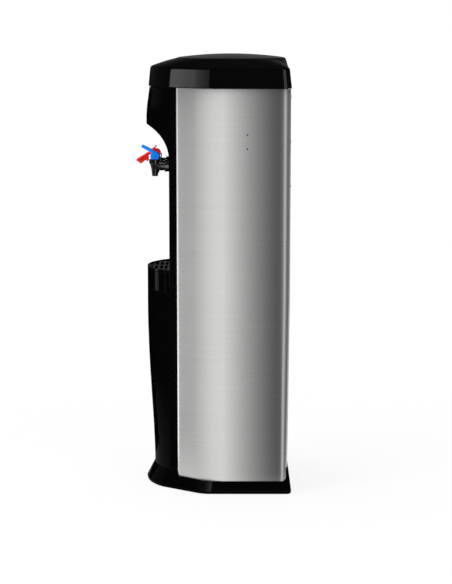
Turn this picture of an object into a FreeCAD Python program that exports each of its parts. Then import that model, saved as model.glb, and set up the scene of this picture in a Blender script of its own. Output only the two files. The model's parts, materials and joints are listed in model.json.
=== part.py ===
"""A free-standing point-of-use water cooler, built as separate pieces in millimetres.

+Z is up, -Y is the front and +X is on the right of someone facing the cooler.
The origin is on the floor, under the middle of the base.
"""
import FreeCAD, Part
import math
import os
import Sketcher
from FreeCAD import Placement, Rotation, Vector

# Driving dimensions, in millimetres and degrees; an entry with = follows the others
SIZES = {
    # Cabinet plan: flat sides that bend into slanted cheeks at the front
    "half_width": 154,
    "cabinet_rear": 160.5,
    "cabinet_bottom": 31.5,
    "cabinet_top": "=top_frame_level + top_frame_drop",
    "rear_corner": 6,
    "bend_start": 20,
    "bend_radius": 128,
    "cheek_angle": 35.6,
    "cheek_front": -94.3,
    "panel_gauge": 1,
    "rear_flange": 12,
    "front_flange": 9,
    "rear_lean": 4.4,
    "lean_top": 459,
    "lower_corner_radius": 14,
    "accessory_hole_radius": 1.75,
    "accessory_hole_pitch": 30.6,
    "accessory_hole_back": 65.2,
    "accessory_hole_drop": 115.4,
    "accessory_hole_level": "=cabinet_top - accessory_hole_drop",
    # Base plinth
    "foot_height": 3,
    "foot_radius": 15,
    "foot_recess": 1.5,
    "rear_foot_side": 125,
    "rear_foot_back": 135,
    "front_foot_side": 62,
    "front_foot_front": 118,
    "plinth_step": 1,
    "plinth_half_width": "=half_width + plinth_step",
    "plinth_reach": 166,
    "plinth_wall": 4,
    "plinth_floor": 3,
    "plinth_bulge_level": 7,
    "plinth_shoulder": -34,
    "plinth_shoulder_cut": 18,
    "plinth_nose_half": 90.5,
    "plinth_nose_side": -129,
    "plinth_nose_top": 43,
    "plinth_nose_top_half": 84,
    "plinth_nose_top_side": -118,
    "plinth_nose_top_front": -147.2,
    "plinth_lip_top": 62,
    "base_pan_gauge": 1.5,
    "fit_gap": 0.3,
    # Front mouldings
    "moulding_wall": 3,
    "nose_front": -162,
    "head_front": -162.4,
    "head_top_front": -154.6,
    "head_bulge_drop": 67.5,
    "head_bulge_level": "=cabinet_top - head_bulge_drop",
    "head_slope_drop": 46.5,
    "head_slope_level": "=cabinet_top - head_slope_drop",
    "head_slope_front": -161.2,
    "wing_half": 95,
    "wing_front": -109,
    "alcove_arch_radius": 81,
    "arch_rise": 16.9,
    "alcove_arch_foot": "=stem_level + arch_rise",
    "door_bottom_front": -147.4,
    "door_lower_front": -148.2,
    "door_lower_level": 85,
    "door_middle_front": -155.4,
    "door_middle_level": 222,
    "door_upper_front": -160.6,
    "door_upper_level": 330,
    "door_top": 452.5,
    "wing_seam": 468,
    "tray_top": 500,
    "tray_wall": 2.8,
    "grille_top": 503.8,
    "grille_thick": 1.5,
    "grille_rim": 3,
    "grille_skirt": 7.5,
    "slot_pitch_across": 53,
    "slot_pitch_deep": 11.6,
    "slot_width": 7.4,
    "slot_bridge": 12,
    "slot_first_row": -152.4,
    "lens_radius": 2.4,
    "lens_pitch": 13,
    "lens_drop": 49.5,
    "lens_level": "=cabinet_top - lens_drop",
    # Lid
    "lid_overhang": 2,
    "lid_band_height": 44.5,
    "lid_band_top": "=cabinet_top + lid_band_height",
    "lid_taper": 4.5,
    "lid_nose_extra": 2.5,
    "lid_wall": 3,
    "cap_radius": 122,
    "cap_centre": 29,
    "cap_rim_rise": 19,
    "cap_rim_level": "=lid_band_top + cap_rim_rise",
    "cap_crown_rise": 9,
    "cap_crown": "=cap_rim_level + cap_crown_rise",
    "cap_ledge": 6,
    "cap_skirt": 8,
    "cap_edge": 2.2,
    # Frame, shelf and back panel inside the steel
    "top_frame_drop": 7.5,
    "top_frame_stand": 17,
    "top_frame_level": "=cold_top + top_frame_stand",
    "top_frame_half": 100,
    "top_frame_front": -60,
    "top_frame_rear": 130,
    "shelf_level": "=cold_bottom - cold_stand",
    "shelf_front": -66,
    "shelf_rear": 147,
    "shelf_gauge": 1.2,
    "shelf_flange": 20,
    "back_panel_gap": 2,
    "back_panel_bottom": "=shelf_level + back_panel_gap",
    "back_panel_clearance": 1,
    "back_panel_top": "=top_frame_level - back_panel_clearance",
    "back_panel_side": 6.2,
    "back_panel_half": "=half_width - back_panel_side",
    # Taps, measured from the stem's axis and the lever's pin
    "tap_side": 40,
    "tap_front": 142,
    "stem_level": 735.5,
    "pin_rise": 21.7,
    "pin_level": "=stem_level + pin_rise",
    "shank_radius": 9,
    "stem_radius": 11.2,
    "tap_flange_radius": 14.1,
    "tap_bore": 6.2,
    "barrel_radius": 13.3,
    "gasket_thick": 1.5,
    "nut_flats": 26,
    "pin_radius": 1.5,
    "hub_radius": 10.3,
    "hub_half": 9,
    "paddle_half": 9,
    "cold_paddle_length": 37.4,
    "cold_paddle_angle": -27.7,
    "hot_paddle_length": 47.8,
    "hot_paddle_angle": 30,
    "plunger_radius": 2.2,
    "seal_radius": 7.2,
    "trigger_pivot_along": 22.5,
    "trigger_pivot_down": 1.2,
    # Cold tank with its insulation, lid, baffle and float
    "cold_centre": 36,
    "cold_radius": 86,
    "cold_stand": 27,
    "outlet_rise": 20.5,
    "cold_bottom": "=stem_level - outlet_rise",
    "cold_height": 173,
    "cold_top": "=cold_bottom + cold_height",
    "tank_gauge": 1,
    "cold_lid_radius": 100,
    "cold_lid_thick": 5,
    "insulation_radius": 112,
    "split_height": 85,
    "insulation_split": "=cold_bottom + split_height",
    "coil_rise": 30,
    "coil_bottom": "=cold_bottom + coil_rise",
    "coil_pitch": 10,
    "float_radius": 20,
    "float_pivot_back": 85,
    "float_pivot_drop": 16,
    "float_pivot_level": "=cold_top - float_pivot_drop",
    "outlet_radius": 6,
    # Hot tank
    "hot_side": -62,
    "hot_back": 20,
    "hot_radius": 58,
    "hot_drop": 48,
    "hot_height": 135,
    "hot_top": "=shelf_level - hot_drop",
    "hot_bottom": "=hot_top - hot_height",
    "jacket_radius": 72,
    "strap_width": 20,
    # Cooling circuit
    "compressor_back": 70,
    "compressor_radius": 66,
    "compressor_stand": 16.5,
    "compressor_bottom": "=cabinet_bottom + compressor_stand",
    "compressor_height": 142,
    "compressor_top": "=compressor_bottom + compressor_height",
    "mount_side": 62,
    "mount_deep": 45,
    "mount_bolt_radius": 3,
    "condenser_back": 150,
    "condenser_side": 39,
    "condenser_half": "=half_width - condenser_side",
    "condenser_bottom": 140,
    "condenser_drop": 28,
    "condenser_top": "=shelf_level - condenser_drop",
    "condenser_tube_radius": 2.5,
    "wire_radius": 0.75,
    "wire_pitch": 15,
    # Filters
    "filter_side": 85,
    "filter_radius": 29,
    "filter_drop": 158.5,
    "filter_height": 209.5,
    "filter_top": "=shelf_level - filter_drop",
    "filter_bottom": "=filter_top - filter_height",
    "filter_front": -35,
    "filter_rear": 45,
    "filter_neck": 16,
    # Controls and connections on the back
    "switch_side": -118,
    "switch_drop": 59.5,
    "switch_level": "=cabinet_top - switch_drop",
    "switch_pitch": 30,
    "knob_side": -80,
    "knob_level": "=switch_level",
    "knob_radius": 11,
    "power_side": -112,
    "power_drop": 73,
    "power_level": "=switch_level - power_drop",
    "inlet_side": -112,
    "inlet_drop": 55,
    "inlet_level": "=power_level - inlet_drop",
    "inlet_tube_bore": 3.35,
    "water_tube_radius": 3.2,
    # Lines that run up inside the cabinet, as distances in from its side
    "discharge_inset": 28,
    "suction_inset": 26,
    "filtered_inset": 34,
    "cut_reach": 46,
}


class Size:
    """A number, with the expression that ties it to the sheet of sizes."""

    def __init__(self, number, text):
        self.number = number
        self.text = text

    def __add__(self, other):
        other = size(other)
        return Size(self.number + other.number, f"({self.text} + {other.text})")

    def __radd__(self, other):
        return size(other) + self

    def __sub__(self, other):
        other = size(other)
        return Size(self.number - other.number, f"({self.text} - {other.text})")

    def __rsub__(self, other):
        return size(other) - self

    def __mul__(self, other):
        other = size(other)
        return Size(self.number * other.number, f"({self.text} * {other.text})")

    def __rmul__(self, other):
        return size(other) * self

    def __truediv__(self, other):
        other = size(other)
        return Size(self.number / other.number, f"({self.text} / {other.text})")

    def __rtruediv__(self, other):
        return size(other) / self

    def __neg__(self):
        return size(0) - self


def size(value):
    """A plain number as a Size, or the Size itself."""
    if isinstance(value, Size):
        return value
    return Size(float(value), f"({float(value)})")


def sine(angle):
    return Size(math.sin(math.radians(angle.number)), f"sin({angle.text})")


def cosine(angle):
    return Size(math.cos(math.radians(angle.number)), f"cos({angle.text})")


def root(value):
    return Size(math.sqrt(value.number), f"sqrt({value.text})")


def arc_radius(half_chord, rise):
    """Radius of the arc over a chord, from half the chord and its rise."""
    return (half_chord * half_chord + rise * rise) / (2 * rise)


class Sheet:
    """The sheet of driving dimensions; each one is read as an attribute."""

    def __init__(self, document, values):
        self.cells = document.addObject("Spreadsheet::Sheet", "Sizes")
        for row, (alias, value) in enumerate(values.items(), 1):
            self.cells.set(f"A{row}", alias)
            self.cells.set(f"B{row}", str(value))
            self.cells.setAlias(f"B{row}", alias)
        document.recompute()

    def __getattr__(self, alias):
        return Size(float(getattr(self.cells, alias)), f"Sizes.{alias}")


doc = FreeCAD.newDocument("WaterCooler")
S = Sheet(doc, SIZES)
PIECES = []


def bind(item, path, value):
    """Gives a property its expression, so that it follows the sheet."""
    item.setExpression(path, size(value).text)


def put(item, position, rotation=None):
    """Places an object, with each coordinate tied to the sheet."""
    position = [size(value) for value in position]
    base = Vector(*[value.number for value in position])
    item.Placement = Placement(base, rotation or Rotation())
    for axis, value in zip("xyz", position):
        bind(item, f"Placement.Base.{axis}", value)
    return item


TURNED = {
    "x": Rotation(Vector(0, 1, 0), 90),
    "y": Rotation(Vector(1, 0, 0), -90),
    "z": Rotation(),
}


def along(axis, centre, start):
    """The position of an axis' start, from the two coordinates across the axis."""
    first, second = centre
    return {"x": (start, first, second), "y": (first, start, second), "z": (first, second, start)}[axis]


def box(name, x, y, z):
    """A block between pairs of coordinates."""
    item = doc.addObject("Part::Box", name)
    for label, (low, high) in (("Length", x), ("Width", y), ("Height", z)):
        bind(item, label, size(high) - low)
    return put(item, (x[0], y[0], z[0]))


def rod(name, axis, centre, radius, span):
    """A cylinder along an axis, between two coordinates on it."""
    item = doc.addObject("Part::Cylinder", name)
    bind(item, "Radius", radius)
    bind(item, "Height", size(span[1]) - span[0])
    return put(item, along(axis, centre, span[0]), TURNED[axis])


def ball(name, centre, radius):
    item = doc.addObject("Part::Sphere", name)
    bind(item, "Radius", radius)
    return put(item, centre)


def join(name, parts):
    """One solid from parts that touch or overlap."""
    item = doc.addObject("Part::MultiFuse", name)
    item.Shapes = parts
    item.Refine = True
    return item


def group(name, parts):
    """Separate solids that share one name."""
    item = doc.addObject("Part::Compound", name)
    item.Links = parts
    return item


def cut(name, base, tools):
    """A solid with the tools taken out of it."""
    item = doc.addObject("Part::Cut", name)
    item.Base = base
    item.Tool = tools[0] if len(tools) == 1 else group(f"{name}_tools", tools)
    item.Refine = True
    return item


def common(name, first, second):
    item = doc.addObject("Part::MultiCommon", name)
    item.Shapes = [first, second]
    return item


def ring(name, axis, centre, radii, span):
    """A plain tube: inner and outer radius, between two coordinates."""
    outer = rod(f"{name}_outer", axis, centre, radii[1], span)
    bore = rod(f"{name}_bore", axis, centre, radii[0], span)
    return cut(name, outer, [bore])


def piece(name, item):
    """Names an object as one of the cooler's pieces."""
    item.Label = name
    PIECES.append(item)
    return item


def point(values):
    return Vector(size(values[0]).number, size(values[1]).number, 0)


def arc_between(start, finish, radius):
    """The short arc from start to finish; a positive radius bends to the left."""
    chord = finish - start
    height = math.sqrt(max(radius * radius - (chord.Length / 2) ** 2, 0))
    left = Vector(-chord.y, chord.x, 0).normalize()
    side = 1 if radius > 0 else -1
    centre = (start + finish) * 0.5 + left * height * side
    first, last = (start, finish) if radius > 0 else (finish, start)
    low = math.atan2(first.y - centre.y, first.x - centre.x)
    high = math.atan2(last.y - centre.y, last.x - centre.x)
    if high < low:
        high += 2 * math.pi
    return Part.ArcOfCircle(Part.Circle(centre, Vector(0, 0, 1), abs(radius)), low, high)


def draw_loop(sketch, loop):
    """A closed loop of (x, y) corners; (x, y, radius) starts an arc to the next corner."""
    first = sketch.GeometryCount
    count = len(loop)
    ends = []
    for index, corner in enumerate(loop):
        start = point(corner)
        finish = point(loop[(index + 1) % count])
        if len(corner) == 2:
            sketch.addGeometry(Part.LineSegment(start, finish), False)
            ends.append((1, 2))
        else:
            radius = size(corner[2]).number
            sketch.addGeometry(arc_between(start, finish, radius), False)
            ends.append((1, 2) if radius > 0 else (2, 1))
    for index, corner in enumerate(loop):
        following = (index + 1) % count
        sketch.addConstraint(Sketcher.Constraint(
            "Coincident", first + index, ends[index][1], first + following, ends[following][0]))
        for kind, value in (("DistanceX", corner[0]), ("DistanceY", corner[1])):
            pin(sketch, Sketcher.Constraint(kind, -1, 1, first + index, ends[index][0],
                                            size(value).number), value)
        if len(corner) == 3:
            value = size(corner[2])
            value = value if value.number > 0 else -value
            pin(sketch, Sketcher.Constraint("Radius", first + index, value.number), value)


def pin(sketch, constraint, value):
    """Adds a dimension to a sketch and ties it to the sheet."""
    index = sketch.addConstraint(constraint)
    bind(sketch, f"Constraints[{index}]", value)


def draw(body, name, plane, level, loops):
    """A sketch on one of the body's own planes, at a level above that plane."""
    sketch = body.newObject("Sketcher::SketchObject", name)
    support = [item for item in body.Origin.OriginFeatures if item.Role == f"{plane}_Plane"][0]
    sketch.AttachmentSupport = [(support, "")]
    sketch.MapMode = "FlatFace"
    sketch.AttachmentOffset = Placement(Vector(0, 0, size(level).number), Rotation())
    bind(sketch, "AttachmentOffset.Base.z", level)
    for loop in loops:
        draw_loop(sketch, loop)
    return sketch


def pad(name, plane, span, *loops):
    """A sketch drawn on the XY, XZ or YZ plane and padded between two coordinates."""
    body = doc.addObject("PartDesign::Body", name)
    low, high = [size(value) for value in span]
    level = -high if plane == "XZ" else low
    sketch = draw(body, f"{name}_outline", plane, level, loops)
    feature = body.newObject("PartDesign::Pad", f"{name}_pad")
    feature.Profile = sketch
    bind(feature, "Length", high - low)
    return body


def loft(name, sections, ruled=True):
    """Horizontal outlines, each at its own level, joined by a loft."""
    body = doc.addObject("PartDesign::Body", name)
    sketches = []
    for index, (level, loop) in enumerate(sections):
        sketches.append(draw(body, f"{name}_section_{index}", "XY", level, [loop]))
    feature = body.newObject("PartDesign::AdditiveLoft", f"{name}_loft")
    feature.Profile = sketches[0]
    feature.Sections = sketches[1:]
    feature.Ruled = ruled
    return body


def turned(name, axis, centre, *loops):
    """A (radius, height) outline turned round an axis through the centre."""
    body = doc.addObject("PartDesign::Body", name)
    sketch = draw(body, f"{name}_outline", "XZ", 0, loops)
    feature = body.newObject("PartDesign::Revolution", f"{name}_turning")
    feature.Profile = sketch
    feature.ReferenceAxis = (sketch, ["V_Axis"])
    feature.Angle = 360
    put(body, along(axis, centre, 0), TURNED[axis])
    return body


def mirrored(loop):
    """The same loop on the other side of the middle plane."""
    return [(-size(corner[0]), *corner[1:2], *[-size(value) for value in corner[2:]]) for corner in loop]


# Plan outlines of the cabinet

def bend_end(inset):
    """Where the bend of the side meets the slanted cheek, at an inset from the steel's face."""
    radius = S.bend_radius - inset
    x = S.half_width - inset - radius * (1 - cosine(S.cheek_angle))
    y = S.bend_start - radius * sine(S.cheek_angle)
    return x, y


def cheek_x(y, inset):
    """Half width of the slanted cheek at a place along Y."""
    x, start = bend_end(inset)
    return x - (start - y) * sine(S.cheek_angle) / cosine(S.cheek_angle)


def cabinet_half(inset, front, rear):
    """Right half of the cabinet's plan, from the front corner to the middle of the rear."""
    corner = S.rear_corner - inset
    x, y = bend_end(inset)
    return [
        (cheek_x(front, inset), front),
        (x, y, S.bend_radius - inset),
        (S.half_width - inset, S.bend_start),
        (S.half_width - inset, rear - S.rear_corner, corner),
        (S.half_width - S.rear_corner, rear - inset),
    ]


def cabinet_loop(inset, front=None, rear=None):
    """The cabinet's whole plan at an inset from the outside of its steel."""
    front = size(S.cheek_front + inset if front is None else front)
    rear = S.cabinet_rear if rear is None else rear
    right = cabinet_half(inset, front, rear)
    left = []
    for index in range(len(right) - 1, -1, -1):
        corner = right[index]
        before = right[index - 1] if index else ()
        left.append((-size(corner[0]), corner[1], *before[2:]))
    return right + left


def nose_radius(front, half, side):
    return arc_radius(half, side - front)


def plinth_loop(side, rear, corner, shoulder, nose_half, nose_side, nose_front):
    """Plan of the plinth: straight sides, soft shoulders, slanted faces and a round nose."""
    run = side - nose_half
    fall = shoulder - nose_side
    slant = root(run * run + fall * fall)
    across = run / slant
    ahead = fall / slant
    cut_back = S.plinth_shoulder_cut
    shoulder_radius = cut_back * (1 + ahead) / across
    nose = nose_radius(nose_front, nose_half, nose_side)
    return [
        (-nose_half, nose_side, nose),
        (nose_half, nose_side),
        (side - cut_back * across, shoulder - cut_back * ahead, shoulder_radius),
        (side, shoulder + cut_back),
        (side, rear - corner, corner),
        (side - corner, rear),
        (corner - side, rear, corner),
        (-side, rear - corner),
        (-side, shoulder + cut_back, shoulder_radius),
        (cut_back * across - side, shoulder - cut_back * ahead),
    ]


def plinth_foot_loop(inset):
    return plinth_loop(
        S.plinth_half_width - inset, S.plinth_reach - inset, size(10), S.plinth_shoulder,
        S.plinth_nose_half, S.plinth_nose_side + inset, inset - S.plinth_reach)


def plinth_top_loop(inset):
    return plinth_loop(
        S.plinth_half_width - 0.8 - inset, S.cabinet_rear + 0.5 - inset, size(8),
        S.plinth_shoulder + 12, S.plinth_nose_top_half - inset,
        S.plinth_nose_top_side + inset / 2, S.plinth_nose_top_front + inset)


def foot_centres():
    for side in (-1, 1):
        yield side * S.rear_foot_side, S.rear_foot_back
        yield side * S.front_foot_side, -S.front_foot_front


def base_plinth():
    """Black moulded base with a flared nose; the cabinet stands on its top edge."""
    under = S.foot_height - S.foot_recess
    reach = S.half_width + S.cut_reach
    outside = loft("plinth_outside", [
        (under, plinth_foot_loop(size(1.5))),
        (S.plinth_bulge_level, plinth_foot_loop(size(0))),
        (S.plinth_nose_top, plinth_top_loop(size(0))),
    ])
    seat = box("plinth_seat_cut", (-reach, reach), (S.cheek_front - S.fit_gap, reach),
               (S.cabinet_bottom, S.plinth_nose_top + 1))
    lip = pad("plinth_lip", "YZ", (3 - S.half_width, S.half_width - 3), [
        (S.cabinet_rear - S.rear_lean + 0.6, S.cabinet_bottom - 5),
        (S.cabinet_rear, S.cabinet_bottom - 5),
        (S.cabinet_rear + 0.3, S.cabinet_bottom),
        (S.cabinet_rear - 2.5, S.plinth_lip_top),
        (S.cabinet_rear - S.rear_lean + 0.6, S.plinth_lip_top),
    ])
    block = join("plinth_block", [cut("plinth_stepped", outside, [seat]), lip])
    inside = pad("plinth_inside", "XY", (under + S.plinth_floor, S.cabinet_bottom - S.plinth_wall),
                 plinth_top_loop(S.plinth_wall))
    mouth = pad("plinth_mouth", "XY", (S.cabinet_bottom - S.plinth_wall - 1, S.cabinet_bottom + 1),
                cabinet_loop(size(5.5), front=S.cheek_front + 12, rear=S.cabinet_rear - 5))
    nose = pad("plinth_nose_inside", "XY",
               (S.cabinet_bottom - S.plinth_wall - 1, S.plinth_nose_top - S.moulding_wall), [
        (-S.plinth_nose_top_half + 8, S.cheek_front - 6),
        (-S.plinth_nose_top_half + 8, S.plinth_nose_top_side + 8,
         nose_radius(S.plinth_nose_top_front + 6, S.plinth_nose_top_half - 8, S.plinth_nose_top_side + 8)),
        (S.plinth_nose_top_half - 8, S.plinth_nose_top_side + 8),
        (S.plinth_nose_top_half - 8, S.cheek_front - 6),
    ])
    recesses = []
    for index, (x, y) in enumerate(foot_centres()):
        recesses.append(rod(f"plinth_recess_{index}", "z", (x, y), S.foot_radius + S.fit_gap,
                            (0, S.foot_height)))
    return piece("base_plinth", cut("plinth", block, [inside, mouth, nose, *recesses]))


def rubber_feet():
    feet = []
    for index, (x, y) in enumerate(foot_centres()):
        feet.append(rod(f"foot_{index}", "z", (x, y), S.foot_radius, (0, S.foot_height)))
    return piece("rubber_feet", group("feet", feet))


def base_pan():
    """Steel plate on the plinth that carries the compressor."""
    plate = pad("base_pan_plate", "XY", (S.cabinet_bottom, S.cabinet_bottom + S.base_pan_gauge),
                cabinet_loop(S.panel_gauge + 1.2, rear=S.cabinet_rear - S.rear_lean - 3))
    holes = []
    for index, (x, y) in enumerate(mount_centres()):
        holes.append(rod(f"base_pan_hole_{index}", "z", (x, y), S.mount_bolt_radius + S.fit_gap,
                         (S.cabinet_bottom - 1, S.cabinet_bottom + 3)))
    return piece("base_pan", cut("pan", plate, holes))


def panel_loop(side, rear):
    """Section of a side panel: flanges folded in at the front and the rear."""
    gauge = S.panel_gauge
    corner = S.rear_corner
    front = S.cheek_front
    outer_bend = bend_end(size(0))
    inner_bend = bend_end(gauge)
    front_flange = cheek_x(front, size(0)) - S.front_flange
    right = [
        (front_flange, front),
        (cheek_x(front, size(0)), front),
        (*outer_bend, S.bend_radius),
        (S.half_width, S.bend_start),
        (S.half_width, rear - corner, corner),
        (S.half_width - corner, rear),
        (S.half_width - S.rear_flange, rear),
        (S.half_width - S.rear_flange, rear - gauge),
        (S.half_width - corner, rear - gauge, gauge - corner),
        (S.half_width - gauge, rear - corner),
        (S.half_width - gauge, S.bend_start, gauge - S.bend_radius),
        inner_bend,
        (cheek_x(front + gauge, gauge), front + gauge),
        (front_flange, front + gauge),
    ]
    return right if side > 0 else mirrored(right)


def side_panel(side):
    """Brushed steel side; its rear edge leans in towards the floor."""
    name = "side_panel_right" if side > 0 else "side_panel_left"
    low_rear = S.cabinet_rear - S.rear_lean
    sheet = loft(f"{name}_sheet", [
        (S.cabinet_bottom, panel_loop(side, low_rear)),
        (S.lean_top, panel_loop(side, S.cabinet_rear)),
        (S.cabinet_top, panel_loop(side, S.cabinet_rear)),
    ])
    radius = S.lower_corner_radius
    near, far = S.half_width - 34, S.half_width + 16
    reach = (near, far) if side > 0 else (-far, -near)
    corner = box(f"{name}_corner", reach, (low_rear - radius, low_rear + 5),
                 (S.cabinet_bottom - 1, S.cabinet_bottom + radius))
    rounding = rod(f"{name}_rounding", "x", (low_rear - radius, S.cabinet_bottom + radius),
                   radius, reach)
    tools = [cut(f"{name}_corner_cut", corner, [rounding])]
    if side > 0:
        for index in (-1, 1):
            level = S.accessory_hole_level + index * S.accessory_hole_pitch / 2
            tools.append(rod(f"{name}_hole_{index + 1}", "x", (S.accessory_hole_back, level),
                             S.accessory_hole_radius, reach))
    return piece(name, cut(f"{name}_body", sheet, tools))


def nose_half_loop(front, inset, back):
    """Plan of the front mouldings, closed by a straight back some way behind their seam."""
    half = S.wing_half - inset
    side = S.wing_front
    seam = S.cheek_front - S.fit_gap
    edge = cheek_x(S.cheek_front, size(0)) - 1 - inset
    nose = [(-half, side, nose_radius(front + inset, half, side)), (half, side)]
    if back == 0:
        return [(-edge, seam), *nose, (edge, seam)]
    return [(-edge, seam + back), (-edge, seam), *nose, (edge, seam), (edge, seam + back)]


def nose_shell_loop(front):
    """Plan of a front moulding as a wall of even thickness, open at the back."""
    back = S.cheek_front - S.fit_gap
    half = S.wing_half
    edge = cheek_x(S.cheek_front, size(0)) - 1
    wall = S.moulding_wall
    inner_half = half - wall
    return [
        (-edge, back),
        (-half, S.wing_front, nose_radius(front, half, S.wing_front)),
        (half, S.wing_front),
        (edge, back),
        (edge - wall, back),
        (inner_half, S.wing_front, -nose_radius(front + wall, inner_half, S.wing_front)),
        (-inner_half, S.wing_front),
        (wall - edge, back),
    ]


def alcove_profile(wall):
    """Side view of the alcove's hollow: arched ceiling, then the upright back wall."""
    centre = S.wing_front - S.alcove_arch_radius
    radius = S.alcove_arch_radius + wall
    return [
        (centre, S.alcove_arch_foot + radius),
        (-260, S.alcove_arch_foot + radius),
        (-260, S.wing_seam - 20),
        (S.wing_front + wall, S.wing_seam - 20),
        (S.wing_front + wall, S.alcove_arch_foot, radius),
    ]


def head_sections(name, inset, extra, back):
    return loft(name, [
        (S.wing_seam - extra, nose_half_loop(S.head_front, inset, back)),
        (S.head_bulge_level, nose_half_loop(S.head_front, inset, back)),
        (S.head_slope_level, nose_half_loop(S.head_slope_front, inset, back)),
        (S.cabinet_top + extra, nose_half_loop(S.head_top_front, inset, back)),
    ])


def front_upper_panel():
    """Gloss black head, alcove ceiling and alcove wall in one moulding."""
    wall = S.moulding_wall
    back = S.cheek_front - S.fit_gap
    reach = S.half_width + S.cut_reach
    outside = head_sections("head_outside", size(0), size(0), 0)
    hollow = pad("alcove_hollow", "YZ", (-reach, reach), alcove_profile(size(0)))
    inside = head_sections("head_inside", wall, size(1), 10)
    spare = pad("alcove_lining", "YZ", (-reach, reach), alcove_profile(wall))
    shell = cut("head_shell", outside, [hollow, cut("head_room", inside, [spare])])
    holes = []
    for name, x in TAPS:
        holes.append(rod(f"{name}_wall_hole", "y", (x, S.stem_level), S.shank_radius + S.fit_gap,
                         (S.wing_front - 1, back + 1)))
    for index, x in enumerate(lens_places()):
        holes.append(rod(f"lens_hole_{index}", "y", (x, S.lens_level), S.lens_radius + 0.05,
                         (S.head_front - 2, S.head_front + 8)))
    return piece("front_upper_panel", cut("head", shell, holes))


def lens_places():
    return [S.lens_pitch * step for step in (-1, 0, 1)]


def indicator_lenses():
    """Three small lenses let into the head, with domed ends."""
    lenses = []
    for index, x in enumerate(lens_places()):
        front = S.head_front + 0.8
        stem = rod(f"lens_stem_{index}", "y", (x, S.lens_level), S.lens_radius, (front, front + 6.4))
        flange = rod(f"lens_flange_{index}", "y", (x, S.lens_level), S.lens_radius + 1.2,
                     (front + 4.9, front + 6.4))
        dome = ball(f"lens_dome_{index}", (x, front + 2, S.lens_level), 3.1)
        face = rod(f"lens_face_{index}", "y", (x, S.lens_level), S.lens_radius, (front - 3, front + 1))
        lenses.append(join(f"lens_{index}", [common(f"lens_tip_{index}", dome, face), stem, flange]))
    return piece("indicator_lenses", group("lenses", lenses))


def front_lower_panel():
    """Gloss black door that leans back towards the floor, with a shelf for the drip tray."""
    bottom = S.plinth_nose_top + S.fit_gap
    shell = loft("door_shell", [
        (bottom, nose_shell_loop(S.door_bottom_front)),
        (S.door_lower_level, nose_shell_loop(S.door_lower_front)),
        (S.door_middle_level, nose_shell_loop(S.door_middle_front)),
        (S.door_upper_level, nose_shell_loop(S.door_upper_front)),
        (S.door_top, nose_shell_loop(S.nose_front)),
    ], ruled=False)
    shelf = pad("door_shelf", "XY", (S.door_top - S.moulding_wall, S.door_top),
                nose_half_loop(S.nose_front + 1, size(1), 0))
    edge = cheek_x(S.cheek_front, size(0)) - 1
    back = S.cheek_front - S.fit_gap
    wall = S.moulding_wall
    upstand = pad("door_upstand", "XY", (S.door_top - wall, S.wing_seam - S.fit_gap), [
        (-edge, back),
        (-S.wing_half, S.wing_front),
        (S.wing_half, S.wing_front),
        (edge, back),
        (edge - wall, back),
        (S.wing_half - wall, S.wing_front + wall),
        (wall - S.wing_half, S.wing_front + wall),
        (wall - edge, back),
    ])
    return piece("front_lower_panel", join("door", [shell, shelf, upstand]))


def tray_loop(inset):
    half = S.wing_half - 0.6 - inset
    side = S.wing_front - S.fit_gap - inset
    return [
        (-half, side, nose_radius(S.nose_front + inset, half, side)),
        (half, side),
    ]


def drip_tray():
    bottom = S.door_top + S.fit_gap
    outside = pad("tray_outside", "XY", (bottom, S.tray_top), tray_loop(size(0)))
    inside = pad("tray_inside", "XY", (bottom + S.tray_wall, S.tray_top + 1), tray_loop(S.tray_wall))
    rebate = cut("tray_rebate",
                 pad("tray_rebate_outside", "XY", (S.grille_top - S.grille_skirt, S.tray_top + 1),
                     tray_loop(size(-1))),
                 [pad("tray_rebate_inside", "XY", (S.grille_top - S.grille_skirt - 1, S.tray_top + 2),
                      tray_loop(S.tray_wall / 2))])
    return piece("drip_tray", cut("tray", outside, [inside, rebate]))


def slot_rows():
    """Places of the grille's slots, row by row."""
    for row in range(4):
        y = S.slot_first_row + row * S.slot_pitch_deep
        for step in (-1.5, -0.5, 0.5, 1.5):
            yield f"{row}_{int(step + 1.5)}", step * S.slot_pitch_across, y


def drip_grille():
    """Slotted cover that sits over the tray's rim."""
    skirt_bottom = S.grille_top - S.grille_skirt + S.fit_gap
    outside = pad("grille_outside", "XY", (skirt_bottom, S.grille_top), tray_loop(size(0)))
    under = pad("grille_under", "XY", (skirt_bottom - 1, S.tray_top + S.fit_gap),
                tray_loop(S.tray_wall / 2 - S.fit_gap))
    dish = pad("grille_dish", "XY", (S.tray_top + S.fit_gap + S.grille_thick, S.grille_top + 1),
               tray_loop(S.grille_rim))
    slots = []
    for label, x, y in slot_rows():
        length = (S.slot_pitch_across - S.slot_bridge) / 2
        slots.append(box(f"slot_{label}", (x - length, x + length),
                         (y - S.slot_width / 2, y + S.slot_width / 2),
                         (S.tray_top, S.grille_top + 1)))
    field = pad("grille_field", "XY", (S.tray_top - 1, S.grille_top + 2), tray_loop(S.grille_rim * 2))
    pierced = common("grille_slots", group("grille_slot_boxes", slots), field)
    return piece("drip_grille", cut("grille", outside, [under, dish, pierced]))


def lid_loop(inset):
    """Plan of the lid: the cabinet's plan grown by the overhang, with its own round nose."""
    grow = inset - S.lid_overhang
    half = S.wing_half - grow * 0.8
    side = S.wing_front + grow * 0.6
    nose = S.head_top_front - S.lid_nose_extra + inset
    corner = S.rear_corner + 6
    x, y = bend_end(grow)
    side_x = S.half_width - grow
    rear = S.cabinet_rear - grow
    return [
        (-half, side, nose_radius(nose, half, side)),
        (half, side),
        (x, y, S.bend_radius - grow),
        (side_x, S.bend_start),
        (side_x, rear - corner, corner),
        (side_x - corner, rear),
        (corner - side_x, rear, corner),
        (-side_x, rear - corner),
        (-side_x, S.bend_start, S.bend_radius - grow),
        (-x, y),
    ]


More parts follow.
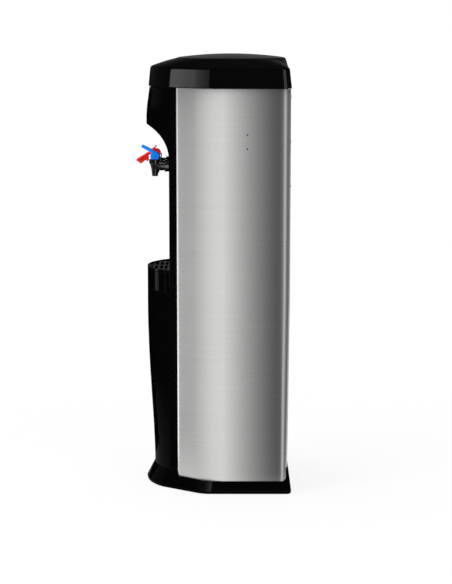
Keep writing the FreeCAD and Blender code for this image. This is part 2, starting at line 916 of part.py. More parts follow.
RIM_ANGLES = (-122, -58, -32, -8, 30, 58, 122, 150, 188, 212)


def rim_loop(radius):
    """The round seat of the cap, in as many arcs as the lid's plan has sides."""
    loop = []
    for angle in RIM_ANGLES:
        x = radius * math.cos(math.radians(angle))
        y = S.cap_centre + radius * math.sin(math.radians(angle))
        loop.append((x, y, radius))
    return loop


def lid():
    """Gloss black top: an upright band, then facets that rise to the round cap."""
    bottom = S.cabinet_top + 0.5
    taper = S.lid_taper
    wall = S.lid_wall
    outside = loft("lid_outside", [
        (bottom, lid_loop(size(0))),
        (S.lid_band_top, lid_loop(taper)),
        (S.cap_rim_level, rim_loop(S.cap_radius)),
    ])
    inside = loft("lid_inside", [
        (bottom - 1, lid_loop(wall)),
        (S.lid_band_top - wall, lid_loop(taper + wall)),
        (S.cap_rim_level - wall, rim_loop(S.cap_radius - wall)),
    ])
    seat = rod("lid_cap_seat", "z", (0, S.cap_centre), S.cap_radius - S.cap_ledge,
               (S.cap_rim_level - 10, S.cap_rim_level + 5))
    return piece("lid", cut("lid_shell", outside, [inside, seat]))


def lid_cap():
    """Shallow domed cap in the middle of the lid."""
    rim = S.cap_radius - 0.6
    rise = S.cap_crown - S.cap_rim_level - S.cap_edge
    dome = arc_radius(rim, rise)
    skirt = S.cap_radius - S.cap_ledge - S.fit_gap
    top = S.cap_rim_level + S.cap_edge
    return piece("lid_cap", turned("cap", "z", (0, S.cap_centre), [
        (0, S.cap_rim_level + rise),
        (0, top + rise, -dome),
        (rim, top),
        (rim, S.cap_rim_level),
        (skirt, S.cap_rim_level),
        (skirt, S.cap_rim_level - S.cap_skirt),
        (skirt - 2, S.cap_rim_level - S.cap_skirt),
        (skirt - 2, S.cap_rim_level, arc_radius(skirt - 2, rise)),
    ]))


# Frame, shelf and back panel

def pierced_plate(name, plate, holes):
    """A plate with round holes given as (x, y, radius)."""
    tools = []
    for index, (x, y, radius) in enumerate(holes):
        tools.append(rod(f"{name}_hole_{index}", "z", (x, y), radius,
                         (S.cabinet_bottom - 20, S.cabinet_top)))
    return cut(name, plate, tools)


def top_frame():
    """Steel frame under the lid that ties the two sides together."""
    level = S.top_frame_level
    plate = pad("top_frame_plate", "XY", (level, level + S.shelf_gauge), cabinet_loop(size(2)))
    opening = box("top_frame_opening", (-S.top_frame_half, S.top_frame_half),
                  (S.top_frame_front, S.top_frame_rear), (level - 1, level + 3))
    outer = S.half_width - S.panel_gauge - S.fit_gap
    right = box("top_frame_right", (outer - S.shelf_gauge, outer), (22, 145),
                (level - S.shelf_flange, level + S.shelf_gauge))
    left = box("top_frame_left", (-outer, S.shelf_gauge - outer), (22, 145),
               (level - S.shelf_flange, level + S.shelf_gauge))
    return piece("top_frame", join("top_frame_all", [cut("top_frame_open", plate, [opening]), right, left]))


def tank_shelf():
    """Steel shelf that carries the cold tank, with flanges down the sides."""
    level = S.shelf_level
    inset = S.panel_gauge + S.fit_gap
    plate = pad("shelf_plate", "XY", (level, level + S.shelf_gauge),
                cabinet_loop(inset, front=S.shelf_front, rear=S.shelf_rear + inset))
    holed = pierced_plate("shelf_holed", plate, [
        (0, S.cold_centre, 8),
        (S.inlet_side, 130, 5),
        (S.discharge_inset - S.half_width, S.condenser_back - 22, 3),
        (S.half_width - S.suction_inset, S.compressor_back + 30, 5),
        (S.half_width - S.filtered_inset, S.filter_front, 5),
    ])
    outer = S.half_width - inset
    right = box("shelf_right", (outer - S.shelf_gauge, outer), (22, 138),
                (level - S.shelf_flange, level + S.shelf_gauge))
    left = box("shelf_left", (-outer, S.shelf_gauge - outer), (22, 138),
               (level - S.shelf_flange, level + S.shelf_gauge))
    return piece("tank_shelf", join("shelf_all", [holed, right, left]))


def back_panel():
    """Steel panel across the top of the back, behind the cold tank."""
    outer = S.cabinet_rear - S.panel_gauge
    sheet = box("back_sheet", (-S.back_panel_half, S.back_panel_half), (outer - 1, outer),
                (S.back_panel_bottom, S.back_panel_top))
    through = (outer - 3, outer + 3)
    tools = [
        box("back_power_hole", (S.power_side - 14.3, S.power_side + 14.3), through,
            (S.power_level - 10.3, S.power_level + 10.3)),
        rod("back_inlet_hole", "y", (S.inlet_side, S.inlet_level), 7.2, through),
        rod("back_knob_hole", "y", (S.knob_side, S.knob_level), 4.6, through),
    ]
    for index, level in enumerate(switch_levels()):
        tools.append(box(f"back_switch_hole_{index}", (S.switch_side - 7.1, S.switch_side + 7.1),
                         through, (level - 12.2, level + 12.2)))
    for index, side in enumerate((-1, 1)):
        tools.append(rod(f"back_power_screw_{index}", "y", (S.power_side + side * 20, S.power_level),
                         1.7, through))
    for column in range(4):
        for row in range(9):
            x = 10 + column * 33
            z = S.back_panel_bottom + 35 + row * 16
            tools.append(box(f"back_vent_{column}_{row}", (x, x + 24), through, (z, z + 4)))
    return piece("back_panel", cut("back_panel_cut", sheet, tools))


def switch_levels():
    return [S.switch_level + S.switch_pitch / 2, S.switch_level - S.switch_pitch / 2]


# Taps

TAPS = (("cold", S.tap_side), ("hot", -S.tap_side))


def held(name, parts, position, angle):
    """Parts drawn round the lever's pin, put in place and tipped about the X axis."""
    item = group(name, parts)
    put(item, position, Rotation(Vector(1, 0, 0), angle))
    return item


def tap_body(tap, x):
    """Tap: barrel, stem, wall flange and threaded shank, bored through to the spout."""
    axis = (x, -S.tap_front)
    level = S.stem_level
    face = S.wing_front - S.gasket_thick
    barrel = turned(f"{tap}_barrel", "z", axis, [
        (0, level - 23.6),
        (6.5, level - 23.6),
        (8.2, level - 8.5),
        (11.2, level + 3.5),
        (S.barrel_radius, level + 5.5),
        (S.barrel_radius, level + 14),
        (0, level + 14),
    ])
    stem = rod(f"{tap}_stem", "y", (x, level), S.stem_radius, (-S.tap_front, face))
    flange = rod(f"{tap}_wall_flange", "y", (x, level), S.tap_flange_radius, (face - 9, face))
    shank = rod(f"{tap}_shank", "y", (x, level), S.shank_radius, (face - 1, S.cheek_front + 2.3))
    lug = box(f"{tap}_lug", (x - 6, x + 6), (-S.tap_front + 10.6, -S.tap_front + S.barrel_radius),
              (level + 9.5, level + 21.5))
    room = turned(f"{tap}_room", "z", axis, [
        (0, level - 25),
        (4.6, level - 25),
        (4.6, level - 11.5),
        (3.5, level - 9.5),
        (3.5, level - 6.5),
        (8, level - 6.5),
        (8, level + 8),
        (11.6, level + 8),
        (11.6, level + 16),
        (0, level + 16),
    ])
    bore = rod(f"{tap}_bore", "y", (x, level), S.tap_bore, (-S.tap_front + 7, S.cheek_front + 4))
    solid = join(f"{tap}_blank", [barrel, stem, flange, shank, lug])
    return piece(f"{tap}_tap_body", cut(f"{tap}_drilled", solid, [room, bore]))


def tap_bonnets():
    """Bonnets screwed into the barrels; their ears carry the pins of the levers."""
    bonnets = []
    for tap, x in TAPS:
        y = -S.tap_front
        level = S.stem_level
        plug = rod(f"{tap}_plug", "z", (x, y), 7.8, (level + 5.5, level + 8.5))
        flange = rod(f"{tap}_bonnet_flange", "z", (x, y), 11.4, (level + 8, level + 9.8))
        parts = [plug, flange]
        for index, side in enumerate((-1, 1)):
            near, far = sorted((side * 4.6, side * 6.6))
            parts.append(box(f"{tap}_ear_{index}", (x + near, x + far), (y - 2.5, y + 2.5),
                             (level + 9, S.pin_level + 2.6)))
        tools = [
            rod(f"{tap}_plunger_hole", "z", (x, y), S.plunger_radius + 0.2, (level, level + 12)),
            rod(f"{tap}_pin_hole", "x", (y, S.pin_level), S.pin_radius + 0.05, (x - 10, x + 10)),
        ]
        bonnets.append(cut(f"{tap}_bonnet", join(f"{tap}_bonnet_blank", parts), tools))
    return piece("tap_bonnets", group("bonnets", bonnets))


def tap_pins():
    pins = []
    for tap, x in TAPS:
        pins.append(rod(f"{tap}_pin", "x", (-S.tap_front, S.pin_level), S.pin_radius, (x - 8.6, x + 8.6)))
    return piece("tap_pins", group("pins", pins))


def tap_gaskets():
    gaskets = []
    for tap, x in TAPS:
        gaskets.append(ring(f"{tap}_gasket", "y", (x, S.stem_level),
                            (S.shank_radius + S.fit_gap, S.tap_flange_radius),
                            (S.wing_front - S.gasket_thick, S.wing_front)))
    return piece("tap_gaskets", group("gaskets", gaskets))


def hexagon(centre, flats):
    """Corners of a six-sided nut."""
    reach = flats / (2 * math.cos(math.radians(30)))
    corners = []
    for step in range(6):
        angle = math.radians(60 * step)
        corners.append((centre[0] + reach * math.cos(angle), centre[1] + reach * math.sin(angle)))
    return corners


def nut(name, centre, flats, bore, span):
    """A nut across the Y axis."""
    body = pad(f"{name}_blank", "XZ", span, hexagon(centre, flats))
    hole = rod(f"{name}_bore", "y", centre, bore, (size(span[0]) - 1, size(span[1]) + 1))
    return cut(name, body, [hole])


def tap_nuts():
    back = S.wing_front + S.moulding_wall
    nuts = []
    for tap, x in TAPS:
        nuts.append(nut(f"{tap}_nut", (x, S.stem_level), S.nut_flats, S.shank_radius, (back, back + 7.5)))
    return piece("tap_nuts", group("nuts", nuts))


def rounded(name, base, radius, edges):
    """A block with the numbered edges rounded."""
    item = doc.addObject("Part::Fillet", name)
    item.Base = base
    item.Edges = [(edge, radius, radius) for edge in edges]
    return item


def hub(tap, paddle, extras):
    """Drum of a lever: hollow, open below, with prongs behind the pin that lift the plunger."""
    drum = rod(f"{tap}_drum", "x", (0, 0), S.hub_radius, (-S.hub_half, S.hub_half))
    solid = join(f"{tap}_lever_blank", [drum, paddle, *extras])
    tools = [
        rod(f"{tap}_drum_room", "x", (0, 0), S.hub_radius - 1.3, (2 - S.hub_half, S.hub_half - 2)),
        rod(f"{tap}_lever_pin_hole", "x", (0, 0), S.pin_radius + 0.06, (-12, 12)),
        box(f"{tap}_drum_mouth", (2 - S.hub_half, S.hub_half - 2), (-14, 14), (-14, -3.5)),
        box(f"{tap}_drum_flat", (-12, 12), (-14, 14), (-14, -7.4)),
    ]
    shell = cut(f"{tap}_drum_open", solid, tools)
    prongs = []
    for index, side in enumerate((-1, 1)):
        near, far = sorted((side * 3.5, side * 6.3))
        prongs.append(box(f"{tap}_prong_{index}", (near, far), (4, 9.1), (0.8, 3.1)))
    return join(f"{tap}_lever_whole", [shell, *prongs])


def cold_lever():
    """Blue lever, raised to the front; pressing its end down lifts the plunger."""
    half = S.paddle_half
    flat = box("cold_paddle_flat", (-half, half), (-S.cold_paddle_length, 0), (3.3, 9.9))
    soft = rounded("cold_paddle_soft", flat, 2.5, (9, 10, 1, 2, 3, 4, 5, 6))
    paddle = held("cold_paddle", [soft], (0, 0, 0), S.cold_paddle_angle.number)
    lever = hub("cold", paddle, [])
    return piece("cold_tap_lever", held(
        "cold_lever_held", [lever], (S.tap_side, -S.tap_front, S.pin_level), 0))


def hot_lever():
    """Red lever that slopes down to the front, with cheeks for the trigger and ears for the catch."""
    half = S.paddle_half
    flat = box("hot_paddle_flat", (-half, half), (-S.hot_paddle_length, 0), (4.5, 11))
    soft = rounded("hot_paddle_soft", flat, 2.5, (9, 10, 1, 2, 3, 4, 5, 6))
    parts = [soft]
    along_paddle = S.trigger_pivot_along
    for index, side in enumerate((-1, 1)):
        near, far = sorted((side * 6, side * 8))
        cheek = box(f"hot_cheek_{index}", (near, far), (-along_paddle - 2.7, 2.7 - along_paddle), (-0.9, 5))
        hole = rod(f"hot_cheek_hole_{index}", "x", (-along_paddle, S.trigger_pivot_down), 1.3,
                   (near - 1, far + 1))
        parts.append(cut(f"hot_cheek_cut_{index}", cheek, [hole]))
    paddle = held("hot_paddle", [join("hot_paddle_whole", parts)], (0, 0, 0), S.hot_paddle_angle.number)
    ears = []
    for index, side in enumerate((-1, 1)):
        near, far = sorted((side * 4.2, side * 6.2))
        ear = box(f"hot_ear_{index}", (near, far), (-6.6, -3), (8, 12.9))
        hole = rod(f"hot_ear_hole_{index}", "x", (-4.8, 11.2), 1.1, (near - 1, far + 1))
        ears.append(cut(f"hot_ear_cut_{index}", ear, [hole]))
    lever = hub("hot", paddle, ears)
    return piece("hot_tap_lever", held(
        "hot_lever_held", [lever], (-S.tap_side, -S.tap_front, S.pin_level), 0))


def hot_trigger():
    """Safety trigger under the red lever, on its own pivot between the lever's cheeks."""
    blade = pad("trigger_blade", "YZ", (-5, 5), [
        (-46, 2.3),
        (-44.4, -2.8),
        (-29.4, -0.7),
        (-27, -6),
        (-23.5, -5.5),
        (-21, -0.9),
        (-21, 2.3),
    ])
    pivot = rod("trigger_pivot", "x", (-S.trigger_pivot_along, S.trigger_pivot_down), 1.2, (-7.8, 7.8))
    whole = join("trigger_whole", [blade, pivot])
    return piece("hot_tap_trigger", held(
        "trigger_held", [whole], (-S.tap_side, -S.tap_front, S.pin_level), S.hot_paddle_angle.number))


def hot_catch():
    """Small safety catch with a ball end on the hub of the red lever."""
    plate = box("catch_plate", (-3.9, 3.9), (-11.4, -3.6), (10.6, 12))
    pivot = rod("catch_pivot", "x", (-4.8, 11.2), 1, (-5.6, 5.6))
    stalk = rod("catch_stalk", "z", (0, -4.4), 1.3, (11.5, 16.5))
    knob = ball("catch_ball", (0, -4.4, 17.5), 2.6)
    whole = join("catch_whole", [plate, pivot, stalk, knob])
    return piece("hot_tap_catch", held("catch_held", [whole], (-S.tap_side, -S.tap_front, S.pin_level), 0))


def plunger(tap, x):
    """Plunger whose stirrup goes round the pin and whose cross bar rides on the prongs."""
    y = -S.tap_front
    pin = S.pin_level
    stem = rod(f"{tap}_plunger_stem", "z", (x, y), S.plunger_radius, (S.stem_level - 2.5, pin - 7))
    foot = rod(f"{tap}_plunger_foot", "z", (x, y), 5, (S.stem_level - 2.5, S.stem_level - 2))
    stirrup = box(f"{tap}_stirrup", (x - 3.2, x + 3.2), (y - 3.4, y + 3.4), (pin - 7, pin + 5))
    bar = box(f"{tap}_bar", (x - 6.4, x + 6.4), (y + 2, y + 4.6), (pin + 3.4, pin + 5))
    slot = box(f"{tap}_stirrup_slot", (x - 5, x + 5), (y - 1.75, y + 1.75), (pin - 3.8, pin + 1.8))
    whole = join(f"{tap}_plunger_blank", [stem, foot, stirrup, bar])
    return piece(f"{tap}_tap_plunger", cut(f"{tap}_plunger_cut", whole, [slot]))


def seal(tap, x):
    level = S.stem_level
    return piece(f"{tap}_tap_seal", rod(f"{tap}_seal_disc", "z", (x, -S.tap_front), S.seal_radius,
                                        (level - 6.45, level - 2.5)))


def spring(tap, x):
    """Return spring as a ribbed sleeve round the plunger, between its foot and the bonnet."""
    level = S.stem_level - 1.9
    turns = 4
    pitch = 1.825
    bulge = pitch * 0.52
    ribs = [(3, level), (5.2, level, bulge)]
    for turn in range(1, turns):
        ribs.append((5.2, level + turn * pitch, bulge))
    ribs.append((5.2, level + turns * pitch))
    ribs.append((3, level + turns * pitch))
    return piece(f"{tap}_tap_spring", turned(f"{tap}_spring_coil", "z", (x, -S.tap_front), ribs))


# Pipes

def swept(route, radius, bend):
    """A round bar along straight runs, with an even bend at each corner of the route."""
    stops = [Vector(*[size(value).number for value in stop]) for stop in route]
    edges = []
    start = stops[0]
    for before, corner, after in zip(stops, stops[1:], stops[2:]):
        into = (corner - before).normalize()
        out = (after - corner).normalize()
        turn = into.getAngle(out)
        reach = bend * math.tan(turn / 2)
        first = corner - into * reach
        last = corner + out * reach
        inward = (out - into).normalize()
        middle = corner + inward * (bend / math.cos(turn / 2) - bend)
        edges.append(Part.makeLine(start, first))
        edges.append(Part.Arc(first, middle, last).toShape())
        start = last
    edges.append(Part.makeLine(start, stops[-1]))
    section = Part.Wire(Part.makeCircle(radius, stops[0], stops[1] - stops[0]))
    return Part.Wire(edges).makePipeShell([section], True, False)


def tube(name, route, radius, bend, bore=0):
    """A pipe along a route in space, hollow where a bore is given."""
    radius = size(radius).number
    shape = swept(route, radius, bend)
    if bore:
        shape = shape.cut(swept(route, bore, bend))
    item = doc.addObject("Part::Feature", name)
    item.Shape = shape
    return item


# Cold tank

def cold_tank():
    """Open steel tank with an outlet to the cold tap and one below to the hot tank."""
    radius = S.cold_radius
    wall = S.tank_gauge
    shell = turned("cold_tank_shell", "z", (0, S.cold_centre), [
        (0, S.cold_bottom),
        (radius, S.cold_bottom),
        (radius, S.cold_top),
        (radius - wall, S.cold_top),
        (radius - wall, S.cold_bottom + wall),
        (0, S.cold_bottom + wall),
    ])
    reach = S.cold_centre - root(radius * radius - S.tap_side * S.tap_side) + 6
    outlet = rod("cold_outlet", "y", (S.tap_side, S.stem_level), S.outlet_radius, (-96, reach))
    drain = rod("cold_drain", "z", (0, S.cold_centre), S.outlet_radius,
                (S.shelf_level + 2, S.cold_bottom + 0.5))
    room = rod("cold_room", "z", (0, S.cold_centre), radius - wall, (S.cold_bottom + wall, S.cold_top + 1))
    tools = [
        room,
        rod("cold_outlet_bore", "y", (S.tap_side, S.stem_level), 4.8, (-97, reach + 2)),
        rod("cold_drain_bore", "z", (0, S.cold_centre), 4.8,
            (S.shelf_level + 1, S.cold_bottom + 3)),
    ]
    return piece("cold_tank", cut("cold_tank_open", join("cold_tank_blank", [shell, outlet, drain]), tools))


def cold_tank_lid():
    disc = turned("cold_lid_disc", "z", (0, S.cold_centre), [
        (0, S.cold_top),
        (S.cold_lid_radius, S.cold_top),
        (S.cold_lid_radius, S.cold_top + S.cold_lid_thick - 2),
        (S.cold_lid_radius - 2, S.cold_top + S.cold_lid_thick),
        (0, S.cold_top + S.cold_lid_thick),
    ])
    hole = rod("cold_lid_hole", "z", (0, 95), 5.2, (S.cold_top - 1, S.cold_top + 8))
    return piece("cold_tank_lid", cut("cold_lid", disc, [hole]))


def tank_baffle():
    """Disc across the cold tank, on a tube that leads warm water down to the bottom outlet."""
    level = S.insulation_split
    disc = rod("baffle_disc", "z", (0, S.cold_centre), S.cold_radius - 1.3, (level, level + 2))
    stand = rod("baffle_tube", "z", (0, S.cold_centre), 9, (S.cold_bottom + 1, level + 2))
    bore = rod("baffle_bore", "z", (0, S.cold_centre), 7.5, (S.cold_bottom, level + 3))
    slots = []
    for index, angle in enumerate((0, 90, 180, 270)):
        x = 55 * math.cos(math.radians(angle + 45))
        y = S.cold_centre + 55 * math.sin(math.radians(angle + 45))
        slots.append(rod(f"baffle_slot_{index}", "z", (x, y), 6, (level - 1, level + 3)))
    foot = box("baffle_foot_slot", (-10, 10), (S.cold_centre - 2, S.cold_centre + 2),
               (S.cold_bottom, S.cold_bottom + 12))
    return piece("tank_baffle", cut("baffle", join("baffle_blank", [disc, stand]), [bore, foot, *slots]))


def float_valve():
    """Inlet valve under the tank lid; ears hold the pin of the float's arm."""
    back = S.float_pivot_back
    level = S.float_pivot_level
    block = box("valve_block", (-8, 8), (90, 104), (level - 8, S.cold_top))
    nipple = rod("valve_nipple", "z", (0, 95), 5, (S.cold_top - 1, S.cold_top + 15))
    spout = rod("valve_spout", "z", (0, 99), 3.5, (level - 20, level - 7))
    parts = [block, nipple, spout]
    for index, side in enumerate((-1, 1)):
        near, far = sorted((side * 4, side * 6))
        parts.append(box(f"valve_ear_{index}", (near, far), (back - 4, 91), (level - 4, level + 4)))
    parts.append(rod("valve_pin", "x", (back, level), 1.5, (-7, 7)))
    bores = [
        rod("valve_bore_down", "z", (0, 95), 2.5, (level, S.cold_top + 13)),
        rod("valve_bore_out", "z", (0, 99), 2, (level - 21, level + 2)),
        box("valve_bore_across", (-1.5, 1.5), (95, 99), (level, level + 2)),
        rod("valve_side_port", "x", (95, S.cold_top + 11), 3.25, (3, 6)),
        rod("valve_side_bore", "x", (95, S.cold_top + 11), 2.2, (0, 5)),
    ]
    return piece("float_valve", cut("valve", join("valve_blank", parts), bores))


def float_arm():
    """Hollow ball on an arm that rises with the water and shuts the valve."""
    back = S.float_pivot_back
    level = S.float_pivot_level
    eye = rod("arm_eye", "x", (back, level), 3.6, (-3.4, 3.4))
    bar = tube("arm_bar", [(0, back - 1, level), (0, back - 39, level), (0, back - 63, level - 14)], 2.2, 12)
    shell = ball("float_ball", (0, back - 75, level - 22), S.float_radius)
    hollow = ball("float_hollow", (0, back - 75, level - 22), S.float_radius - 1.5)
    bore = rod("arm_bore", "x", (back, level), 1.8, (-5, 5))
    whole = join("arm_blank", [eye, bar, shell])
    return piece("float_arm", cut("arm", whole, [bore, hollow]))


def tap_lead_holes(name):
    """Room for the outlet pipe through the insulation and the coil."""
    return rod(name, "y", (S.tap_side, S.stem_level), S.outlet_radius + 0.5, (-90, -20))


def insulation_lower():
    radius = S.insulation_radius
    body = turned("insulation_low_ring", "z", (0, S.cold_centre), [
        (7, S.shelf_level + S.shelf_gauge),
        (radius, S.shelf_level + S.shelf_gauge),
        (radius, S.insulation_split - 0.2),
        (S.cold_radius + 8, S.insulation_split - 0.2),
        (S.cold_radius + 8, S.coil_bottom - 2),
        (S.cold_radius + 0.2, S.coil_bottom - 2),
        (S.cold_radius + 0.2, S.cold_bottom),
        (7, S.cold_bottom),
    ])
    holes = [
        tap_lead_holes("insulation_lead_hole"),
        rod("insulation_suction_hole", "x", (S.cold_centre, S.coil_bottom + 5), 4,
            (S.cold_radius - 1, S.insulation_radius + 8)),
    ]
    return piece("insulation_lower", cut("insulation_low", body, holes))


def insulation_upper():
    body = ring("insulation_high_ring", "z", (0, S.cold_centre), (S.cold_radius + 8, S.insulation_radius),
                (S.insulation_split, S.cold_top))
    hole = rod("insulation_capillary_hole", "x", (S.cold_centre, S.coil_bottom + 105), 3,
               (-S.insulation_radius - 8, 1 - S.cold_radius))
    return piece("insulation_upper", cut("insulation_high", body, [hole]))


def evaporator_coil():
    """Cooling coil pressed round the tank, its turns lying one on the next."""
    inner = S.cold_radius + 0.1
    outer = S.cold_radius + 3.5
    turns = [(inner, S.coil_bottom)]
    for turn in range(12):
        turns.append((outer, S.coil_bottom + turn * S.coil_pitch, 5.15))
    turns.append((outer, S.coil_bottom + 12 * S.coil_pitch))
    turns.append((inner, S.coil_bottom + 12 * S.coil_pitch))
    return piece("evaporator_coil", turned("coil_turns", "z", (0, S.cold_centre), turns))


# Hot tank

def hot_tank():
    radius = S.hot_radius
    outer = turned("hot_tank_outside", "z", (S.hot_side, S.hot_back), [
        (0, S.hot_bottom - 20),
        (5, S.hot_bottom - 20),
        (5, S.hot_bottom),
        (radius - 6, S.hot_bottom, 6),
        (radius, S.hot_bottom + 6),
        (radius, S.hot_top - 6, 6),
        (radius - 6, S.hot_top),
        (5, S.hot_top),
        (5, S.hot_top + 32),
        (0, S.hot_top + 32),
    ])
    room = turned("hot_tank_room", "z", (S.hot_side, S.hot_back), [
        (0, S.hot_bottom - 21),
        (3.8, S.hot_bottom - 21),
        (3.8, S.hot_bottom + 1.5),
        (radius - 7, S.hot_bottom + 1.5),
        (radius - 1.5, S.hot_bottom + 7),
        (radius - 1.5, S.hot_top - 7),
        (radius - 7, S.hot_top - 1.5),
        (3.8, S.hot_top - 1.5),
        (3.8, S.hot_top + 33),
        (0, S.hot_top + 33),
    ])
    return piece("hot_tank", cut("hot_tank_hollow", outer, [room]))


def hot_tank_jacket():
    radius = S.jacket_radius
    return piece("hot_tank_jacket", turned("jacket", "z", (S.hot_side, S.hot_back), [
        (9, S.hot_bottom - 8),
        (radius, S.hot_bottom - 8),
        (radius, S.hot_top + 20),
        (9, S.hot_top + 20),
        (9, S.hot_top),
        (S.hot_radius + 2.4, S.hot_top),
        (S.hot_radius + 2.4, S.hot_bottom),
        (9, S.hot_bottom),
    ]))


def heater_band():
    """Heating band clamped round the hot tank, with its clamp lug."""
    band = ring("heater_ring", "z", (S.hot_side, S.hot_back), (S.hot_radius, S.hot_radius + 2.2),
                (S.hot_bottom + 10, S.hot_bottom + 60))
    return piece("heater_band", band)


def hot_tank_bracket():
    """Strap that hangs the hot tank from the shelf."""
    reach = S.jacket_radius + 0.4
    gauge = size(1.5)
    bottom = S.hot_bottom - 8
    top = S.shelf_level
    across = (S.hot_back - S.strap_width / 2, S.hot_back + S.strap_width / 2)
    left = S.hot_side - reach
    right = S.hot_side + reach
    strap = pad("strap", "XZ", across, [
        (left - gauge, bottom - gauge),
        (right + gauge, bottom - gauge),
        (right + gauge, top - gauge),
        (right + 12, top - gauge),
        (right + 12, top),
        (right, top),
        (right, bottom),
        (left, bottom),
        (left, top),
        (left - 12, top),
        (left - 12, top - gauge),
        (left - gauge, top - gauge),
    ])
    hole = rod("strap_hole", "z", (S.hot_side, S.hot_back), 7, (bottom - 4, bottom + 2))
    return piece("hot_tank_bracket", cut("strap_cut", strap, [hole]))


# Cooling circuit

def mount_centres():
    for side in (-1, 1):
        for back in (-1, 1):
            yield side * S.mount_side, S.compressor_back + back * S.mount_deep


def compressor():
    """Sealed compressor: two pressed halves, their seam and the plate it stands on."""
    radius = S.compressor_radius
    bottom = S.compressor_bottom
    shell = turned("compressor_shell", "z", (0, S.compressor_back), [
        (0, bottom),
        (40, bottom, 26),
        (radius, bottom + 26),
        (radius, bottom + 68),
        (radius + 4, bottom + 68),
        (radius + 4, bottom + 72),
        (radius, bottom + 72),
        (radius, bottom + 104, 40),
        (32, S.compressor_top - 3),
        (0, S.compressor_top),
    ])
    plate = box("compressor_plate", (-S.mount_side - 13, S.mount_side + 13),
                (S.compressor_back - S.mount_deep - 15, S.compressor_back + S.mount_deep + 15),
                (bottom - 2, bottom + 0.5))
    holes = []
    for index, (x, y) in enumerate(mount_centres()):
        holes.append(rod(f"compressor_hole_{index}", "z", (x, y), S.mount_bolt_radius + 0.2,
                         (bottom - 3, bottom + 2)))
    return piece("compressor", join("compressor_all", [shell, cut("compressor_feet", plate, holes)]))


def compressor_grommets():
    grommets = []
    bottom = S.cabinet_bottom + S.base_pan_gauge
    for index, (x, y) in enumerate(mount_centres()):
        grommets.append(ring(f"grommet_{index}", "z", (x, y), (S.mount_bolt_radius + 0.2, 11),
                             (bottom, S.compressor_bottom - 2)))
    return piece("compressor_grommets", group("grommets", grommets))


def relay_cover():
    bottom = S.compressor_bottom
    side = box("relay_box", (-S.compressor_radius - 32, 11 - S.compressor_radius),
               (S.compressor_back - 20, S.compressor_back + 20), (bottom + 32, bottom + 64))
    shell = rod("relay_shell_cut", "z", (0, S.compressor_back), S.compressor_radius,
                (bottom + 22, bottom + 92))
    return piece("relay_cover", cut("relay", side, [shell]))


def condenser_route():
    """Corners of the condenser's one long tube, from the top down."""
    half = S.condenser_half
    back = S.condenser_back
    pitch = (S.condenser_top - S.condenser_bottom) / 12
    outer = half + 11
    route = [(outer, back - 10, S.condenser_top), (outer, back, S.condenser_top)]
    for run in range(12):
        side = -half if run % 2 == 0 else half
        route.append((side, back, S.condenser_top - pitch * run))
        route.append((side, back, S.condenser_top - pitch * (run + 1)))
    route.append((-outer, back, S.condenser_bottom))
    route.append((-outer, back - 10, S.condenser_bottom))
    return route


def condenser_tube():
    return piece("condenser_tube", tube("condenser_tube", condenser_route(), S.condenser_tube_radius, 4.9))


def condenser_wires():
    """Upright wires on both faces of the tube, and the clips that hold it to the sides."""
    parts = []
    offset = S.condenser_tube_radius + S.wire_radius
    for step in range(-7, 8):
        for face, side in (("front", -1), ("rear", 1)):
            parts.append(rod(f"wire_{face}_{step + 7}", "z",
                             (step * S.wire_pitch, S.condenser_back + side * offset),
                             S.wire_radius, (S.condenser_bottom - 10, S.condenser_top + 10)))
    back = S.condenser_back + S.condenser_tube_radius
    inner = S.cabinet_rear - S.panel_gauge
    pitch = (S.condenser_top - S.condenser_bottom) / 12
    for side, run, leans in ((-1, 2.5, 0), (-1, 10.5, 1), (1, 1.5, 0), (1, 9.5, 1)):
        label = f"{'right' if side > 0 else 'left'}_{'low' if leans else 'high'}"
        level = S.condenser_top - pitch * run
        lean = leans * S.rear_lean * (S.lean_top + 9 - level) / (S.lean_top - S.cabinet_bottom)
        near, middle, far = S.half_width - 45, S.half_width - 12, S.half_width - 6
        reach = (near, far) if side > 0 else (-far, -near)
        strip = box(f"clip_strip_{label}", reach, (back, back + 2), (level - 9, level + 9))
        reach = (middle, far) if side > 0 else (-far, -middle)
        stand = box(f"clip_stand_{label}", reach, (back, inner - lean - 0.1), (level - 9, level + 9))
        parts.append(join(f"clip_{label}", [strip, stand]))
    return piece("condenser_wires", group("wires", parts))


